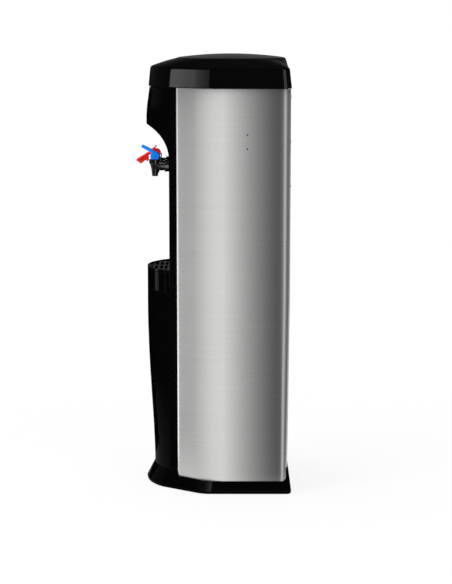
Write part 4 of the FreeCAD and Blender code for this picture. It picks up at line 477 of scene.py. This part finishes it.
LID_MIDDLE = (0.0, 29.0)
CAP_RADIUS, CAP_RIM, CROWN_LEVEL, DOME_RISE, DOME_EDGE = 122.0, 121.4, 985.0, 7.7, 116.5
BAND_FOOT, BAND_TOP, SEAT_LEVEL = 913.0, 957.0, 976.0
BAND_DRAFT = 4.5


def lid_plan(inset):
    """Plan of the lid at a distance inside its widest outline: bowed nose, bent sides and round rear corners."""
    grow = inset - 2.0
    half, side = 101.5 - grow * 0.8, -98.8 + grow * 0.6
    nose = -157.1 + inset
    sag = side - nose
    radius = (half * half + sag * sag) / (2 * sag)
    sweep = math.degrees(math.asin(half / radius))
    front = arc((0.0, nose + radius), radius, -90 - sweep, -90 + sweep, 30)
    bend = arc((PANEL_SIDE - BEND, BEND_START), BEND - grow, -CHEEK, 0, 12)
    rear = arc((PANEL_SIDE - grow - 17, PANEL_REAR - grow - 17), 17.0, 0, 90, 10)
    right = bend + rear
    return front + right + [(-x, y) for x, y in reversed(right)]


def reach(plan, angle):
    """How far the plan's outline lies from the lid's middle in one direction."""
    dx, dy = math.cos(angle), math.sin(angle)
    far = 0.0
    for (ax, ay), (bx, by) in zip(plan, plan[1:] + plan[:1]):
        ax, ay, bx, by = ax - LID_MIDDLE[0], ay - LID_MIDDLE[1], bx - LID_MIDDLE[0], by - LID_MIDDLE[1]
        across = (bx - ax) * dy - (by - ay) * dx
        if abs(across) < 1e-9:
            continue
        along = (ay * dx - ax * dy) / across
        if -1e-6 <= along <= 1 + 1e-6:
            far = max(far, (ax + along * (bx - ax)) * dx + (ay + along * (by - ay)) * dy)
    return far


def lid_angles():
    """Directions from the middle: even steps, and closer ones round the corners."""
    even = [math.radians(step * 2.5) for step in range(144)]
    corners = [math.atan2(y - LID_MIDDLE[1], x - LID_MIDDLE[0]) % (2 * math.pi) for x, y in lid_plan(BAND_DRAFT)]
    kept = []
    for angle in sorted(even + corners):
        if not kept or angle - kept[-1] > 0.006:
            kept.append(angle)
    return kept


def slope_point(narrow_out, part, turn):
    """Distance out and level on the slope (part 0 to 1), then on the round-over onto the band (turn 0 to 1)."""
    seat = (CAP_RADIUS + 1.2, SEAT_LEVEL - 0.8)
    room = narrow_out - seat[0]
    round_over = min(7.0, room * 0.32)
    corner = (narrow_out, BAND_TOP + 0.6)
    share = round_over / room
    start = (corner[0] - round_over, corner[1] + (seat[1] - corner[1]) * share)
    if turn == 0.0:
        bulge = 0.9 * math.sin(math.pi * part)
        return (seat[0] + (start[0] - seat[0]) * part, seat[1] + (start[1] - seat[1]) * part + bulge)
    end = (narrow_out + 0.55, BAND_TOP - 5.0)
    first, second, third = (1 - turn) ** 2, 2 * turn * (1 - turn), turn ** 2
    return (start[0] * first + corner[0] * second + end[0] * third,
            start[1] * first + corner[1] * second + end[1] * third)


def lid_section(wide_out, narrow_out):
    """The lid cut in one direction: (distance out, level), from the cap's seat to the inside of the band."""
    seat = [(116.0, 972.0), (116.0, 974.0), (119.5, 974.3), (121.8, 974.3), (122.4, 974.9)]
    slope = [slope_point(narrow_out, part, 0.0) for part in (0.0, 0.12, 0.3, 0.5, 0.7, 0.86)]
    round_over = [slope_point(narrow_out, 1.0, step / 8) for step in range(9)]
    foot = [(wide_out - inward, BAND_FOOT + rise)
            for inward, rise in ((0.1, 1.2), (0.35, 0.4), (1.0, 0.0), (3.0, 0.0), (3.4, 14.0))]
    return seat + slope + round_over + foot


def lid_shell():
    wide, narrow = lid_plan(0.0), lid_plan(BAND_DRAFT)
    spokes = [[(LID_MIDDLE[0] + out * math.cos(angle), LID_MIDDLE[1] + out * math.sin(angle), level)
               for out, level in lid_section(reach(wide, angle), reach(narrow, angle))]
              for angle in lid_angles()]
    skin = shell(list(zip(*spokes)))
    cover = true_flats(link("lid_shell", solid("lid_shell", [skin], 40), "gloss_black", "lid"))
    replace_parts(cover, "lid")


def lid_crown():
    """The cap: a shallow dome with a rounded rim and a finger groove round it."""
    profile = [(0.05, CROWN_LEVEL)]
    for part in range(1, 13):
        out = DOME_EDGE * part / 12
        profile.append((out, CROWN_LEVEL - DOME_RISE * (out / DOME_EDGE) ** 2))
    profile += [(118.8, 976.9), (120.4, 976.4), (121.2, 975.7), (CAP_RIM, 975.0), (CAP_RIM, 974.6),
                (115.0, 974.6), (115.0, 968.0), (113.0, 968.0), (113.0, 973.5)]
    rings = [circle(LID_MIDDLE, out, level, 128) for out, level in profile]
    cap = link("lid_crown", solid("lid_crown", [shell(rings, first_lid=True)], 50), "gloss_black", "lid")
    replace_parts(cap, "lid_cap")


# Small shapes that turn, run along a route or stand as a bar

def spun(profile, centre, axis, steps=48):
    """Skin of a turned shape; its profile is (radius, place along the axis)."""
    x, y, z = centre
    rings = []
    for radius, along in profile:
        ring = []
        for step in range(steps):
            one = radius * math.cos(2 * math.pi * step / steps)
            two = radius * math.sin(2 * math.pi * step / steps)
            ring.append({"x": (x + along, y + one, z + two), "y": (x + two, y + along, z + one),
                         "z": (x + one, y + two, z + along)}[axis])
        rings.append(ring)
    return capped(rings)


def hoop(centre, inner, outer, low, high, steps=48):
    """Skin of an upright ring with eased edges."""
    ease = min(outer - inner, high - low) * 0.25
    profile = [(inner, low), (outer - ease, low), (outer, low + ease), (outer, high - ease),
               (outer - ease, high), (inner, high)]
    return shell([circle(centre, radius, level, steps) for radius, level in profile], round_trip=True)


def hose(route, radius, bend=12.0, sides=10):
    """Skin of a wire or tube that runs through the points, round at its bends."""
    corners = [Vector(spot) for spot in route]
    path = [corners[0]]
    for before, here, after in zip(corners, corners[1:], corners[2:]):
        room = min(bend, (here - before).length * 0.49, (after - here).length * 0.49)
        start = here + (before - here).normalized() * room
        end = here + (after - here).normalized() * room
        for step in range(7):
            part = step / 6
            path.append(start * (1 - part) ** 2 + here * 2 * part * (1 - part) + end * part ** 2)
    path.append(corners[-1])
    side = None
    rings = []
    for index, spot in enumerate(path):
        heading = (path[min(index + 1, len(path) - 1)] - path[max(index - 1, 0)]).normalized()
        side = heading.orthogonal() if side is None else side - heading * side.dot(heading)
        side.normalize()
        up = heading.cross(side)
        rings.append([tuple(spot + (side * math.cos(2 * math.pi * step / sides)
                                    + up * math.sin(2 * math.pi * step / sides)) * radius)
                      for step in range(sides)])
    return capped(rings)


def soft_square(half, low, high, radius):
    """Outline of a bar with round corners: (across, up)."""
    ring = []
    for across, up, start in ((half - radius, high - radius, 0), (radius - half, high - radius, 90),
                              (radius - half, low + radius, 180), (half - radius, low + radius, 270)):
        ring += arc((across, up), radius, start, start + 90, 4)
    return ring


def tipped(points, pin, angle):
    """Points drawn round a lever's pin, tipped about it and put in place."""
    cosine, sine = math.cos(math.radians(angle)), math.sin(math.radians(angle))
    return [(pin[0] + x, pin[1] + y * cosine - z * sine, pin[2] + y * sine + z * cosine) for x, y, z in points]


def bar(sections, pin, angle):
    """Skin of a bar that runs front to back; its sections are (place, half width, low, high, corner)."""
    rings = [tipped([(x, place, z) for x, z in soft_square(half, low, high, corner)], pin, angle)
             for place, half, low, high, corner in sections]
    return capped(rings)


def cheek_plate(outline, near, far, ease, pin, angle):
    """Skin of a flat plate that stands front to back, with eased edges; its outline is (place, level)."""
    def shrunk(by):
        """The outline, drawn in by a distance."""
        small = []
        count = len(outline)
        for index, (y, z) in enumerate(outline):
            before, after = outline[index - 1], outline[(index + 1) % count]
            first = Vector((y - before[0], z - before[1])).normalized()
            second = Vector((after[0] - y, after[1] - z)).normalized()
            inward = Vector((-(first.y + second.y), first.x + second.x))
            inward = inward.normalized() * (turn * by / max(0.5, inward.length / 2))
            small.append((y + inward.x, z + inward.y))
        return small
    area = sum(a[0] * b[1] - b[0] * a[1] for a, b in zip(outline, outline[1:] + outline[:1]))
    turn = 1 if area > 0 else -1
    steps = ((near, ease), (near + ease * 0.3, ease * 0.3), (near + ease, 0.0),
             (far - ease, 0.0), (far - ease * 0.3, ease * 0.3), (far, ease))
    rings = [tipped([(x, y, z) for y, z in shrunk(by)], pin, angle) for x, by in steps]
    return capped(rings)


# Taps: levers with a ringed hub, the safety trigger inside its lever, and the small catch

PIN_LEVEL = 757.2
COLD_PIN, HOT_PIN = (40.0, -142.0, PIN_LEVEL), (-40.0, -142.0, PIN_LEVEL)
COLD_TIP, HOT_TIP = -27.7, 30


def lever(name, pin, tip, sections, colour, body, extras, tools):
    """Hub with raised rims, its paddle, and the prongs inside that lift the plunger."""
    rim = [(0.05, 9.5), (2.1, 9.5), (2.6, 9.2), (2.8, 8.5), (6.3, 8.5), (6.8, 8.9),
           (9.0, 9.0), (9.8, 8.7), (10.25, 7.9)]
    drum = spun([(out, -along) for out, along in rim] + [(out, along) for out, along in reversed(rim)], pin, "x")
    piece = link(name, solid(name, [drum]), colour, body)
    carve(piece, [helper("paddle", bar(sections, pin, tip))] + [helper("extra", skin) for skin in extras], "UNION")
    # Room for the bonnet's ears, open at the foot, under a flat sole
    room = spun([(9.0, -7.0), (9.0, 7.0)], pin, "x")
    mouth = bar([(-14, 7.0, -14, -3.5, 0.2), (14, 7.0, -14, -3.5, 0.2)], pin, 0)
    sole = bar([(-14, 12.0, -14, -7.4, 0.2), (14, 12.0, -14, -7.4, 0.2)], pin, 0)
    carve(piece, [helper("tool", skin) for skin in (room, mouth, sole, *tools)])
    prongs = [bar([(3.4, 1.4, 0.8, 3.1, 0.5), (8.3, 1.4, 0.8, 3.1, 0.5), (9.1, 1.0, 1.2, 2.7, 0.4)],
                  (pin[0] + side * 4.9, pin[1], pin[2]), 0) for side in (-1, 1)]
    carve(piece, [helper("prong", skin) for skin in prongs], "UNION")
    return true_flats(piece)


def cold_lever():
    sections = [(6.6, 7.4, 5.3, 8.5, 1.5), (5.4, 8.7, 3.8, 9.7, 2.4), (0, 9, 3.3, 9.9, 2.5), (-20, 9, 3.3, 9.9, 2.5),
                (-33, 9, 3.5, 9.8, 2.6), (-35.6, 8.8, 3.9, 9.4, 2.4), (-36.9, 8.0, 4.6, 8.7, 1.8),
                (-37.4, 6.8, 5.4, 7.9, 1.1)]
    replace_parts(lever("cold_lever_moulding", COLD_PIN, COLD_TIP, sections, "blue_plastic", "cold_lever", [], []),
                "cold_tap_lever")


def hot_lever():
    """The hot lever is a channel underneath, with ears for the trigger's pin and for the catch's pin."""
    sections = [(4.4, 7.4, 5.6, 9.4, 1.7), (3.2, 8.7, 4.8, 10.7, 2.4), (0, 9, 4.5, 11, 2.6), (-20, 9, 4.5, 11, 2.6),
                (-42, 9, 4.7, 10.8, 2.6), (-45.6, 8.8, 5.0, 10.4, 2.5), (-47.2, 8.0, 5.7, 9.6, 1.9),
                (-47.8, 6.8, 6.6, 8.8, 1.1)]
    trigger_ear = [(-19.4, 6.0), *arc((-22.5, 1.4), -2.9, 180, 0, 6), (-25.6, 6.0)]
    catch_ear = [(-2.8, 8.0), *arc((-4.8, 11.2), 2.1, 0, 180, 6), (-7.0, 6.0)]
    ears = []
    for side in (-1, 1):
        ears.append(cheek_plate(trigger_ear, *sorted((side * 6.9, side * 8.8)), 0.4, HOT_PIN, HOT_TIP))
        ears.append(cheek_plate(catch_ear, *sorted((side * 4.3, side * 6.2)), 0.35, HOT_PIN, 0))
    channel = bar([(-45.4, 6.9, -3, 9.0, 1.0), (-13, 6.9, -3, 9.0, 1.0)], HOT_PIN, HOT_TIP)
    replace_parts(lever("hot_lever_moulding", HOT_PIN, HOT_TIP, sections, "red_plastic", "hot_lever", ears, [channel]),
                "hot_tap_lever")


def trigger():
    """The strip under the hot lever, with the hump where a finger pulls it, and its pin."""
    blade = [(-44.9, 5.4), (-45.7, 2.9), (-43.6, -2.2), (-42.0, -3.3), (-30.4, -1.6), (-28.8, -2.6), (-27.4, -5.6),
             (-25.6, -6.4), (-23.8, -5.6), (-20.8, -1.0), (-19.9, 1.6), (-20.6, 5.4)]
    pin = [(0.05, -8.9), (1.0, -8.9), (1.3, -8.6), (1.3, 8.6), (1.0, 8.9), (0.05, 8.9)]
    skins = [cheek_plate(blade, -6.1, 6.1, 0.7, HOT_PIN, HOT_TIP),
             spun(pin, tipped([(0, -22.5, 1.2)], HOT_PIN, HOT_TIP)[0], "x", 20)]
    piece = link("safety_trigger", solid("safety_trigger", skins), "trigger_red", "trigger")
    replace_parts(piece, "hot_tap_trigger")


def catch():
    """The catch on the hot lever's hub: a plate on its pin, and an arm that ends in a ball."""
    plate = [(-12.2, 8.3), (-11.4, 7.4), (-5.6, 9.5), (-4.0, 10.0), (-3.5, 11.2), (-4.4, 12.3), (-6.0, 12.2),
             (-11.6, 9.7)]
    ball = [(2.1 * math.sin(math.radians(turn)) + 0.03, -2.1 * math.cos(math.radians(turn)))
            for turn in range(0, 181, 15)]
    x, y, z = HOT_PIN
    skins = [cheek_plate(plate, -3.8, 3.8, 0.5, HOT_PIN, 0),
             spun([(0.05, -5.9), (1.0, -5.9), (1.0, 5.9), (0.05, 5.9)], (x, y - 4.8, z + 11.2), "x", 16),
             hose([(x, y - 4.8, z + 11.4), (x, y - 3.4, z + 13.4), (x, y - 1.5, z + 15.4)], 1.25, 2.0),
             spun(ball, (x, y - 1.2, z + 15.9), "z", 24)]
    piece = link("safety_catch", solid("safety_catch", skins), "trigger_red", "catch")
    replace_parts(piece, "hot_tap_catch")


def return_spring(tap, pin):
    """Coil between a plunger's foot and its bonnet, with flat end turns; it rides on the valve."""
    foot, height, wire, mean = 733.6, 7.3, 0.45, 4.6
    turns, steps, sides = 5.0, 90, 8
    flat = wire * 2 * 0.96
    rise = height - 2 * wire - 2 * flat
    rings = []
    for step in range(steps + 1):
        turn = turns * step / steps
        middle = min(max((turn - 1) / (turns - 2), 0), 1)
        level = flat * min(turn, 1) + rise * middle + flat * max(turn - turns + 1, 0)
        angle = 2 * math.pi * turn
        rings.append([(pin[0] + (mean + wire * math.cos(around)) * math.cos(angle),
                       pin[1] + (mean + wire * math.cos(around)) * math.sin(angle),
                       foot + wire + level + wire * math.sin(around))
                      for around in (2 * math.pi * side / sides for side in range(sides))])
    name = f"{tap}_return_spring"
    piece = link(name, solid(name, [capped(rings)]), "spring_steel", f"{tap}_valve")
    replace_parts(piece, f"{tap}_tap_spring")
    metres([(pin[0], pin[1], foot)])[0]
    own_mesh(piece)


# Fastenings, wires and clips seen from the back

BACK_PANEL_FACE = 159.5
LEAD_X, LEAD_Y = -141, 108
HOT_TANK_MIDDLE, JACKET_RADIUS = (-62, 20), 72
FILTER_X, FILTER_TOP, FILTER_FOOT = 85, 529.5, 320.0


def pan_screw():
    """One screw head with a cross recess, its seat at the origin and its top facing the back."""
    profile = [(0.05, -0.4), (3.6, -0.4), (3.6, 0.5), (3.3, 1.2), (2.4, 1.8), (1.2, 2.1), (0.05, 2.2)]
    head = helper("screw_form", spun(profile, (0, 0, 0), "y", 24))
    carve(head, [helper("recess", bar([(0.9, half, -rise, rise, 0.1), (3.0, half, -rise, rise, 0.1)], (0, 0, 0), 0))
                 for half, rise in ((1.9, 0.35), (0.35, 1.9))])
    points = [tuple(vertex.co * 1000) for vertex in head.data.vertices]
    faces = [tuple(face.vertices) for face in head.data.polygons]
    bpy.data.objects.remove(head)
    return points, faces


def panel_screws():
    points, faces = pan_screw()
    seats = [(x, z) for x in (-138, 138) for z in (699, 797, 895)] + [(x, 699) for x in (-46, 46)]
    skins = [([(x + px, BACK_PANEL_FACE + py, z + pz) for px, py, pz in points], faces) for x, z in seats]
    link("panel_screws", solid("panel_screws", skins, 28), "zinc", "cabinet")


def tie(x, y, z, radius):
    """A cable tie round an upright wire, with its head."""
    return [hoop((x, y), radius, radius + 0.9, z - 1.6, z + 1.6, 24),
            bar([(radius, 2.2, -2.1, 2.1, 0.6), (radius + 3.2, 2.2, -2.1, 2.1, 0.6)], (x, y, z), 0)]


def wiring():
    """Leads from the compressor's relay and the heater up behind the back panel."""
    trunk = hose([(-92, 84, 96), (-92, LEAD_Y, 96), (LEAD_X, LEAD_Y, 104), (LEAD_X, LEAD_Y, 634),
                  (LEAD_X, 152.4, 652), (LEAD_X, 152.4, 700)], 3.1, 16)
    branch = hose([(LEAD_X, 106, 560), (LEAD_X, 92, 600), (-124, 72, 612), (-108, 60, 612)], 1.9, 14)
    earth = hose([(LEAD_X, 112, 150), (LEAD_X, 128, 132), (LEAD_X, 130, 60), (-128, 130, 38)], 1.5, 12)
    link("wire_sleeves", solid("wire_sleeves", [trunk, branch], 40), "seal_rubber", "cabinet")
    link("earth_lead", solid("earth_lead", [earth], 40), "filter_white", "cabinet")
    ties = [skin for level in (190, 310, 430, 545) for skin in tie(LEAD_X, LEAD_Y, level, 3.2)]
    link("cable_ties", solid("cable_ties", ties), "white_plastic", "cabinet")


def jacket_bands():
    """Steel bands that hold the hot tank's jacket, each with its buckle."""
    skins = []
    x, y = HOT_TANK_MIDDLE
    bearing, buckle_out = math.radians(64), JACKET_RADIUS + 1.2
    for level in (531, 626):
        skins.append(hoop(HOT_TANK_MIDDLE, JACKET_RADIUS - 0.4, JACKET_RADIUS + 0.7, level - 6, level + 6, 96))
        buckle = (x + buckle_out * math.cos(bearing), y + buckle_out * math.sin(bearing), level)
        skins.append(bar([(-1.2, 9, -7.5, 7.5, 1.2), (1.6, 9, -7.5, 7.5, 1.2)], buckle, 0))
    link("jacket_bands", solid("jacket_bands", skins), "zinc", "cabinet")


def filter_grips():
    """Grip ribs round the top of each filter, a plain band round its middle, and the collet of its port."""
    steps = 144
    top, low = FILTER_TOP, FILTER_FOOT
    for name, y in (("front", -35.0), ("rear", 45.0)):
        middle = (FILTER_X, y)
        rings = []
        for level, rise in ((top - 7.6, 0.0), (top - 6.9, 1.0), (top - 1.4, 1.0), (top - 0.7, 0.0)):
            ring = []
            for step in range(steps):
                out = 25.0 + (1.6 * rise if step % 4 in (1, 2) else 0.25 * rise)
                ring.append((FILTER_X + out * math.cos(2 * math.pi * step / steps),
                             y + out * math.sin(2 * math.pi * step / steps), level))
            rings.append(ring)
        ribs = [capped(rings), hoop(middle, 28.6, 29.25, low + 22, low + 24, 72),
                hoop(middle, 28.6, 29.25, top - 30, top - 28, 72)]
        band = hoop(middle, 28.6, 29.12, low + 70, low + 96, 72)
        collet = [hoop(middle, 3.3, 5.4, top + 42.4, top + 44.6, 32),
                  hoop(middle, 3.3, 4.3, top + 44.2, top + 47.2, 32)]
        for kind, skins, sharp, slot, body in (("filter_ribs", ribs, 20, "filter_white", f"{name}_filter"),
                                               ("filter_band", [band], 32, "blue_tube", f"{name}_filter"),
                                               ("port_collet", collet, 32, "seal_rubber", "cabinet")):
            link(f"{name}_{kind}", solid(f"{name}_{kind}", skins, sharp), slot, body)


def process_stub():
    """The compressor's pinched-off filling tube."""
    stub = hose([(-30, 118, 150), (-40, 137, 152), (-41, 139, 172)], 2.9, 9)
    pinch = bar([(-0.9, 3.6, 0, 9, 0.8), (0.9, 3.6, 0, 9, 0.8)], (-41, 139, 170), 0)
    link("process_stub", solid("process_stub", [stub, pinch]), "copper", "cabinet")


STEEL_PIECES = [side_panel(1), side_panel(-1)]
lid_shell()
lid_crown()
cold_lever()
hot_lever()
trigger()
catch()
panel_screws()
wiring()
jacket_bands()
filter_grips()
process_stub()
return_spring("cold", COLD_PIN)
return_spring("hot", HOT_PIN)


# Light, floor and camera

def grey(level):
    return (level, level, level)


def even(level):
    """Stops of a card that glows alike all over."""
    return [(0.0, grey(level)), (1.0, grey(level))]


def floor_finish():
    """A pale floor: white to the camera and to gloss, but for the soft shadow round the base."""
    finish = Finish("pale_floor")
    spot = finish.add("ShaderNodeTexCoord", output=OBJECT)
    distance = finish.add("ShaderNodeVectorMath", {"operation": "LENGTH"}, {0: spot}, output=1)
    far = ((distance - 0.25) / 0.9).clamped()
    diffuse = finish.add("ShaderNodeBsdfDiffuse", None, {"Color": grey(0.9)})
    white = finish.add("ShaderNodeEmission", None, {"Color": grey(1.0), "Strength": 1.0})
    mixed = finish.add("ShaderNodeMixShader", None, {
        0: finish.seen() * (0.86 + 0.14 * far), 1: diffuse, 2: white})
    finish.add("ShaderNodeOutputMaterial", None, {"Surface": mixed}, output=None)
    return finish.material


def card_finish(name, stops, clear=True):
    """A glowing card, brighter and darker along the Y axis; a clear one blocks nothing behind it."""
    finish = Finish(name)
    spot = finish.add("ShaderNodeTexCoord", output=GENERATED)
    along = finish.add("ShaderNodeSeparateXYZ", None, {"Vector": spot}, output=1)
    glow = finish.add("ShaderNodeValToRGB", {"stops": stops}, {"Fac": along})
    light = finish.add("ShaderNodeEmission", None, {"Color": glow, "Strength": 1.0})
    if clear:
        through = finish.add("ShaderNodeBsdfTransparent", None, {"Color": grey(1.0)})
        light = finish.add("ShaderNodeAddShader", None, {0: light, 1: through})
    finish.add("ShaderNodeOutputMaterial", None, {"Surface": light}, output=None)
    return finish.material


def rectangle(name, corners, material):
    """One flat sheet through four corners."""
    mesh = bpy.data.meshes.new(name)
    mesh.from_pydata(corners, [], [(0, 1, 2, 3)])
    mesh.materials.append(material)
    sheet = into_scene(name, mesh)
    return sheet


def lit_by(sheet, pieces):
    """Lets a glowing sheet reach some pieces alone."""
    group = bpy.data.collections.new(sheet.name + "_pieces")
    for item in pieces:
        group.objects.link(item)
    sheet.light_linking.receiver_collection = group


def only_in_gloss(sheet, pieces):
    """Leaves a card to the gloss of some pieces alone."""
    lit_by(sheet, pieces)
    sheet.visible_camera = False
    sheet.visible_diffuse = False
    sheet.visible_transmission = False
    sheet.visible_shadow = False
    sheet.visible_volume_scatter = False


def soft_light(name, place, target, size, power):
    """A rectangular soft light that faces a point, and that gloss doesn't show."""
    lamp = bpy.data.lights.new(name, "AREA")
    lamp.shape = "RECTANGLE"
    lamp.size, lamp.size_y = size
    lamp.energy = power
    light = into_scene(name, lamp)
    light.location = place
    light.rotation_euler = (Vector(target) - Vector(place)).to_track_quat("-Z", "Y").to_euler()
    light.visible_camera = False
    light.visible_glossy = False


# Polished black shows a dark room; metal, glass and the rest show the white floor
BLACK = [NODES[name] for name in ("base_plinth", "front_upper_panel", "front_lower_panel", "drip_tray", "drip_grille")]
BLACK += [bpy.data.objects[name] for name in ("lid_shell", "lid_crown")]
floor = rectangle("floor", [(-6, -6, 0), (6, -6, 0), (6, 6, 0), (-6, 6, 0)], floor_finish())
lit_by(floor, [item for item in bpy.context.scene.objects
               if item.type in ("MESH", "CURVE") and item not in BLACK and item != floor])

# Cards beside the steel: (place from front to back, brightness), brightest where the side bends
STEEL_GLOW = [
    (-0.36, 0.30), (-0.31, 0.46), (-0.25, 0.64), (-0.17, 0.73), (-0.10, 0.86), (-0.03, 1.06), (0.008, 1.10),
    (0.03, 0.90), (0.06, 0.59), (0.09, 0.35), (0.115, 0.20), (0.135, 0.12), (0.1445, 0.12), (0.150, 0.70),
    (0.168, 0.75), (0.178, 0.22), (0.5, 0.18),
]
CARD_DISTANCE, CARD_FOOT, CARD_TOP = 0.19, 0.004, 0.912
HEM_CARD_HALF = 0.15
STRIP_DISTANCE = 1.5


def steel_cards():
    """Solid cards beside the panels and at their front corners, and a clear one across the front."""
    front, rear = STEEL_GLOW[0][0], STEEL_GLOW[-1][0]
    stops = [((place - front) / (rear - front), grey(level)) for place, level in STEEL_GLOW]
    finish = card_finish("steel_card", stops, clear=False)

    def card(name, start, end, material):
        corners = [(*start, CARD_FOOT), (*end, CARD_FOOT), (*end, CARD_TOP), (*start, CARD_TOP)]
        only_in_gloss(rectangle(name, corners, material), STEEL_PIECES)

    for side in (1, -1):
        out = side * CARD_DISTANCE
        card(f"steel_card_{side + 1}", (out, front), (out, rear), finish)
        card(f"corner_card_{side + 1}", (side * HEM_CARD_HALF, front), (out, front),
             card_finish("corner_card", even(0.6), clear=False))
    card("hem_card", (-HEM_CARD_HALF, front), (HEM_CARD_HALF, front), card_finish("hem_card", even(1.0)))


def upright_card(name, start, end, levels, glow, pieces):
    """A glowing card that stands between two places in plan; glow is (Y, brightness) from front to back."""
    low, high = levels
    front, back = sorted((start[1], end[1]))
    stops = [((place - front) / (back - front), grey(level)) for place, level in glow]
    only_in_gloss(rectangle(name, [(*start, low), (*end, low), (*end, high), (*start, high)],
                            card_finish(name, stops)), pieces)


def far_strip(name, bearings, levels, brightness, pieces):
    """An upright strip light round the cooler; bearing 0 is its right side, and -90 its front."""
    ends = [(STRIP_DISTANCE * math.cos(math.radians(angle)), STRIP_DISTANCE * math.sin(math.radians(angle)))
            for angle in bearings]
    front = min(ends[0][1], ends[1][1])
    upright_card(name, ends[0], ends[1], levels, [(front, brightness), (front + 0.01, brightness)], pieces)


def world():
    """A plain bright room; its gloss is dark at eye level and pale overhead."""
    sky = bpy.data.worlds.new("studio")
    bpy.context.scene.world = sky
    finish = Finish("studio", sky)
    direct, through, gloss = [finish.add("ShaderNodeLightPath", output=index)
                              for index in (CAMERA_RAY, CLEAR_RAY, GLOSSY_RAY)]
    spot = finish.add("ShaderNodeTexCoord", output=GENERATED)
    height = finish.add("ShaderNodeSeparateXYZ", None, {"Vector": spot}, output=2)
    stops = [(place, grey(level)) for place, level in
             ((0.0, 0.0), (0.02, 0.06), (0.2, 0.06), (0.4, 0.03), (0.75, 0.02), (1.0, 0.08))]
    room = finish.add("ShaderNodeValToRGB", {"stops": stops}, {"Fac": height.clamped()})
    white = direct.math("MAXIMUM", through)
    plain = finish.blend(gloss, grey(0.62), room)
    colour = finish.blend(white, plain, grey(1.0))
    finish.add("ShaderNodeOutputWorld", None, {
        "Surface": finish.add("ShaderNodeBackground", None, {"Color": colour, "Strength": 1.0})},
        output=None)


steel_cards()
LID = [bpy.data.objects["lid_shell"]]
BASE = [NODES["base_plinth"]]
HEAD = [NODES["front_upper_panel"]]
DOOR = [NODES[name] for name in ("front_lower_panel", "drip_tray", "drip_grille")]
TRAY = [NODES["drip_tray"], NODES["drip_grille"]]
TAPS = [NODES[name] for name in ("cold_tap_body", "hot_tap_body", "tap_bonnets")]
CROWN = [bpy.data.objects["lid_crown"]]
BAND_GLOW = [(-0.42, 5.6), (-0.3835, 5.4), (-0.346, 3.3), (-0.316, 2.4), (-0.227, 1.4), (-0.196, 1.1),
             (-0.188, 0.2), (-0.178, 0.0)]
upright_card("band_card", (0.20, -0.42), (0.40, -0.178), (0.93, 1.08), BAND_GLOW, LID)
upright_card("band_rear_card", (0.35, 0.18), (0.28, 0.29), (0.93, 1.10), [(0.18, 3.2), (0.29, 3.2)], LID)
upright_card("base_card", (0.186, -0.16), (0.186, -0.0185), (0.0, 0.14), [
    (-0.16, 0.1), (-0.08, 0.12), (-0.05, 0.3), (-0.034, 1.0), (-0.0185, 2.3)], BASE)
far_strip("head_strip_near", (-65.5, -76.5), (0.22, 2.2), 0.24, HEAD)
far_strip("head_strip_far", (-96, -109), (0.22, 2.2), 0.06, HEAD)
far_strip("tray_strip_near", (-65.5, -76.5), (0.22, 2.2), 0.32, TRAY)
far_strip("tray_strip_far", (-96, -109), (0.22, 2.2), 0.8, TRAY)
upright_card("grille_card", (-0.18, -0.175), (-0.18, -0.085), (0.495, 0.60), [(-0.175, 0.09), (-0.085, 0.09)],
             [NODES["drip_grille"]])
for side in (1, -1):
    upright_card(f"shank_card_{side + 1}", (side * 0.17, -0.130), (side * 0.17, -0.098), (0.62, 0.765),
                 [(-0.130, 6.5), (-0.098, 6.5)], TAPS)
    upright_card(f"tap_card_{side + 1}", (side * 0.45, -0.30), (side * 0.45, -0.08), (1.10, 1.75),
                 [(-0.30, 4.0), (-0.08, 11.0)], TAPS)
    rear, front = [(side * STRIP_DISTANCE * math.cos(math.radians(angle)),
                    -STRIP_DISTANCE * math.sin(math.radians(angle))) for angle in (8, 34)]
    upright_card(f"front_side_card_{side + 1}", rear, front, (0.22, 2.2),
                 [(front[1], 0.5), (-0.5, 3.0), (rear[1], 12.0)], HEAD + DOOR)
far_strip("front_right_card", (-46, -62), (0.1, 2.2), 2.6, HEAD + DOOR)
far_strip("crown_card", (150, 210), (0.9, 2.4), 0.06, CROWN)
far_strip("front_low_card", (-80, -133), (0.0, 0.42), 1.3, HEAD)
overhead = rectangle("overhead_card", [(-1.0, -1.9, 2.5), (1.0, -1.9, 2.5), (1.0, -0.3, 2.5), (-1.0, -0.3, 2.5)],
                     card_finish("overhead_card", [(0.0, grey(4.0)), (1.0, grey(2.0))]))
only_in_gloss(overhead, HEAD + DOOR + TAPS)
world()
soft_light("key", (2.0, -2.6, 2.3), (0, 0, 0.55), (1.6, 2.2), 62.0)
soft_light("fill", (2.6, 2.0, 1.6), (0, 0, 0.5), (1.4, 2.0), 32.0)
soft_light("top", (-0.4, -0.3, 3.2), (0, 0, 0.9), (1.8, 1.8), 26.0)

lens_data = bpy.data.cameras.new("camera")
lens_data.sensor_width = SENSOR_WIDTH
lens_data.sensor_fit = "AUTO"
lens_data.lens = FOCAL_PIXELS * SENSOR_WIDTH / IMAGE_HEIGHT
camera = into_scene("camera", lens_data)
camera.location = CAMERA_PLACE
aim = Vector((-math.cos(CAMERA_DOWN), -math.sin(CAMERA_ASIDE), -math.sin(CAMERA_DOWN)))
camera.rotation_euler = aim.to_track_quat("-Z", "Y").to_euler()
bpy.context.scene.camera = camera
bpy.context.scene.view_settings.view_transform = "Standard"
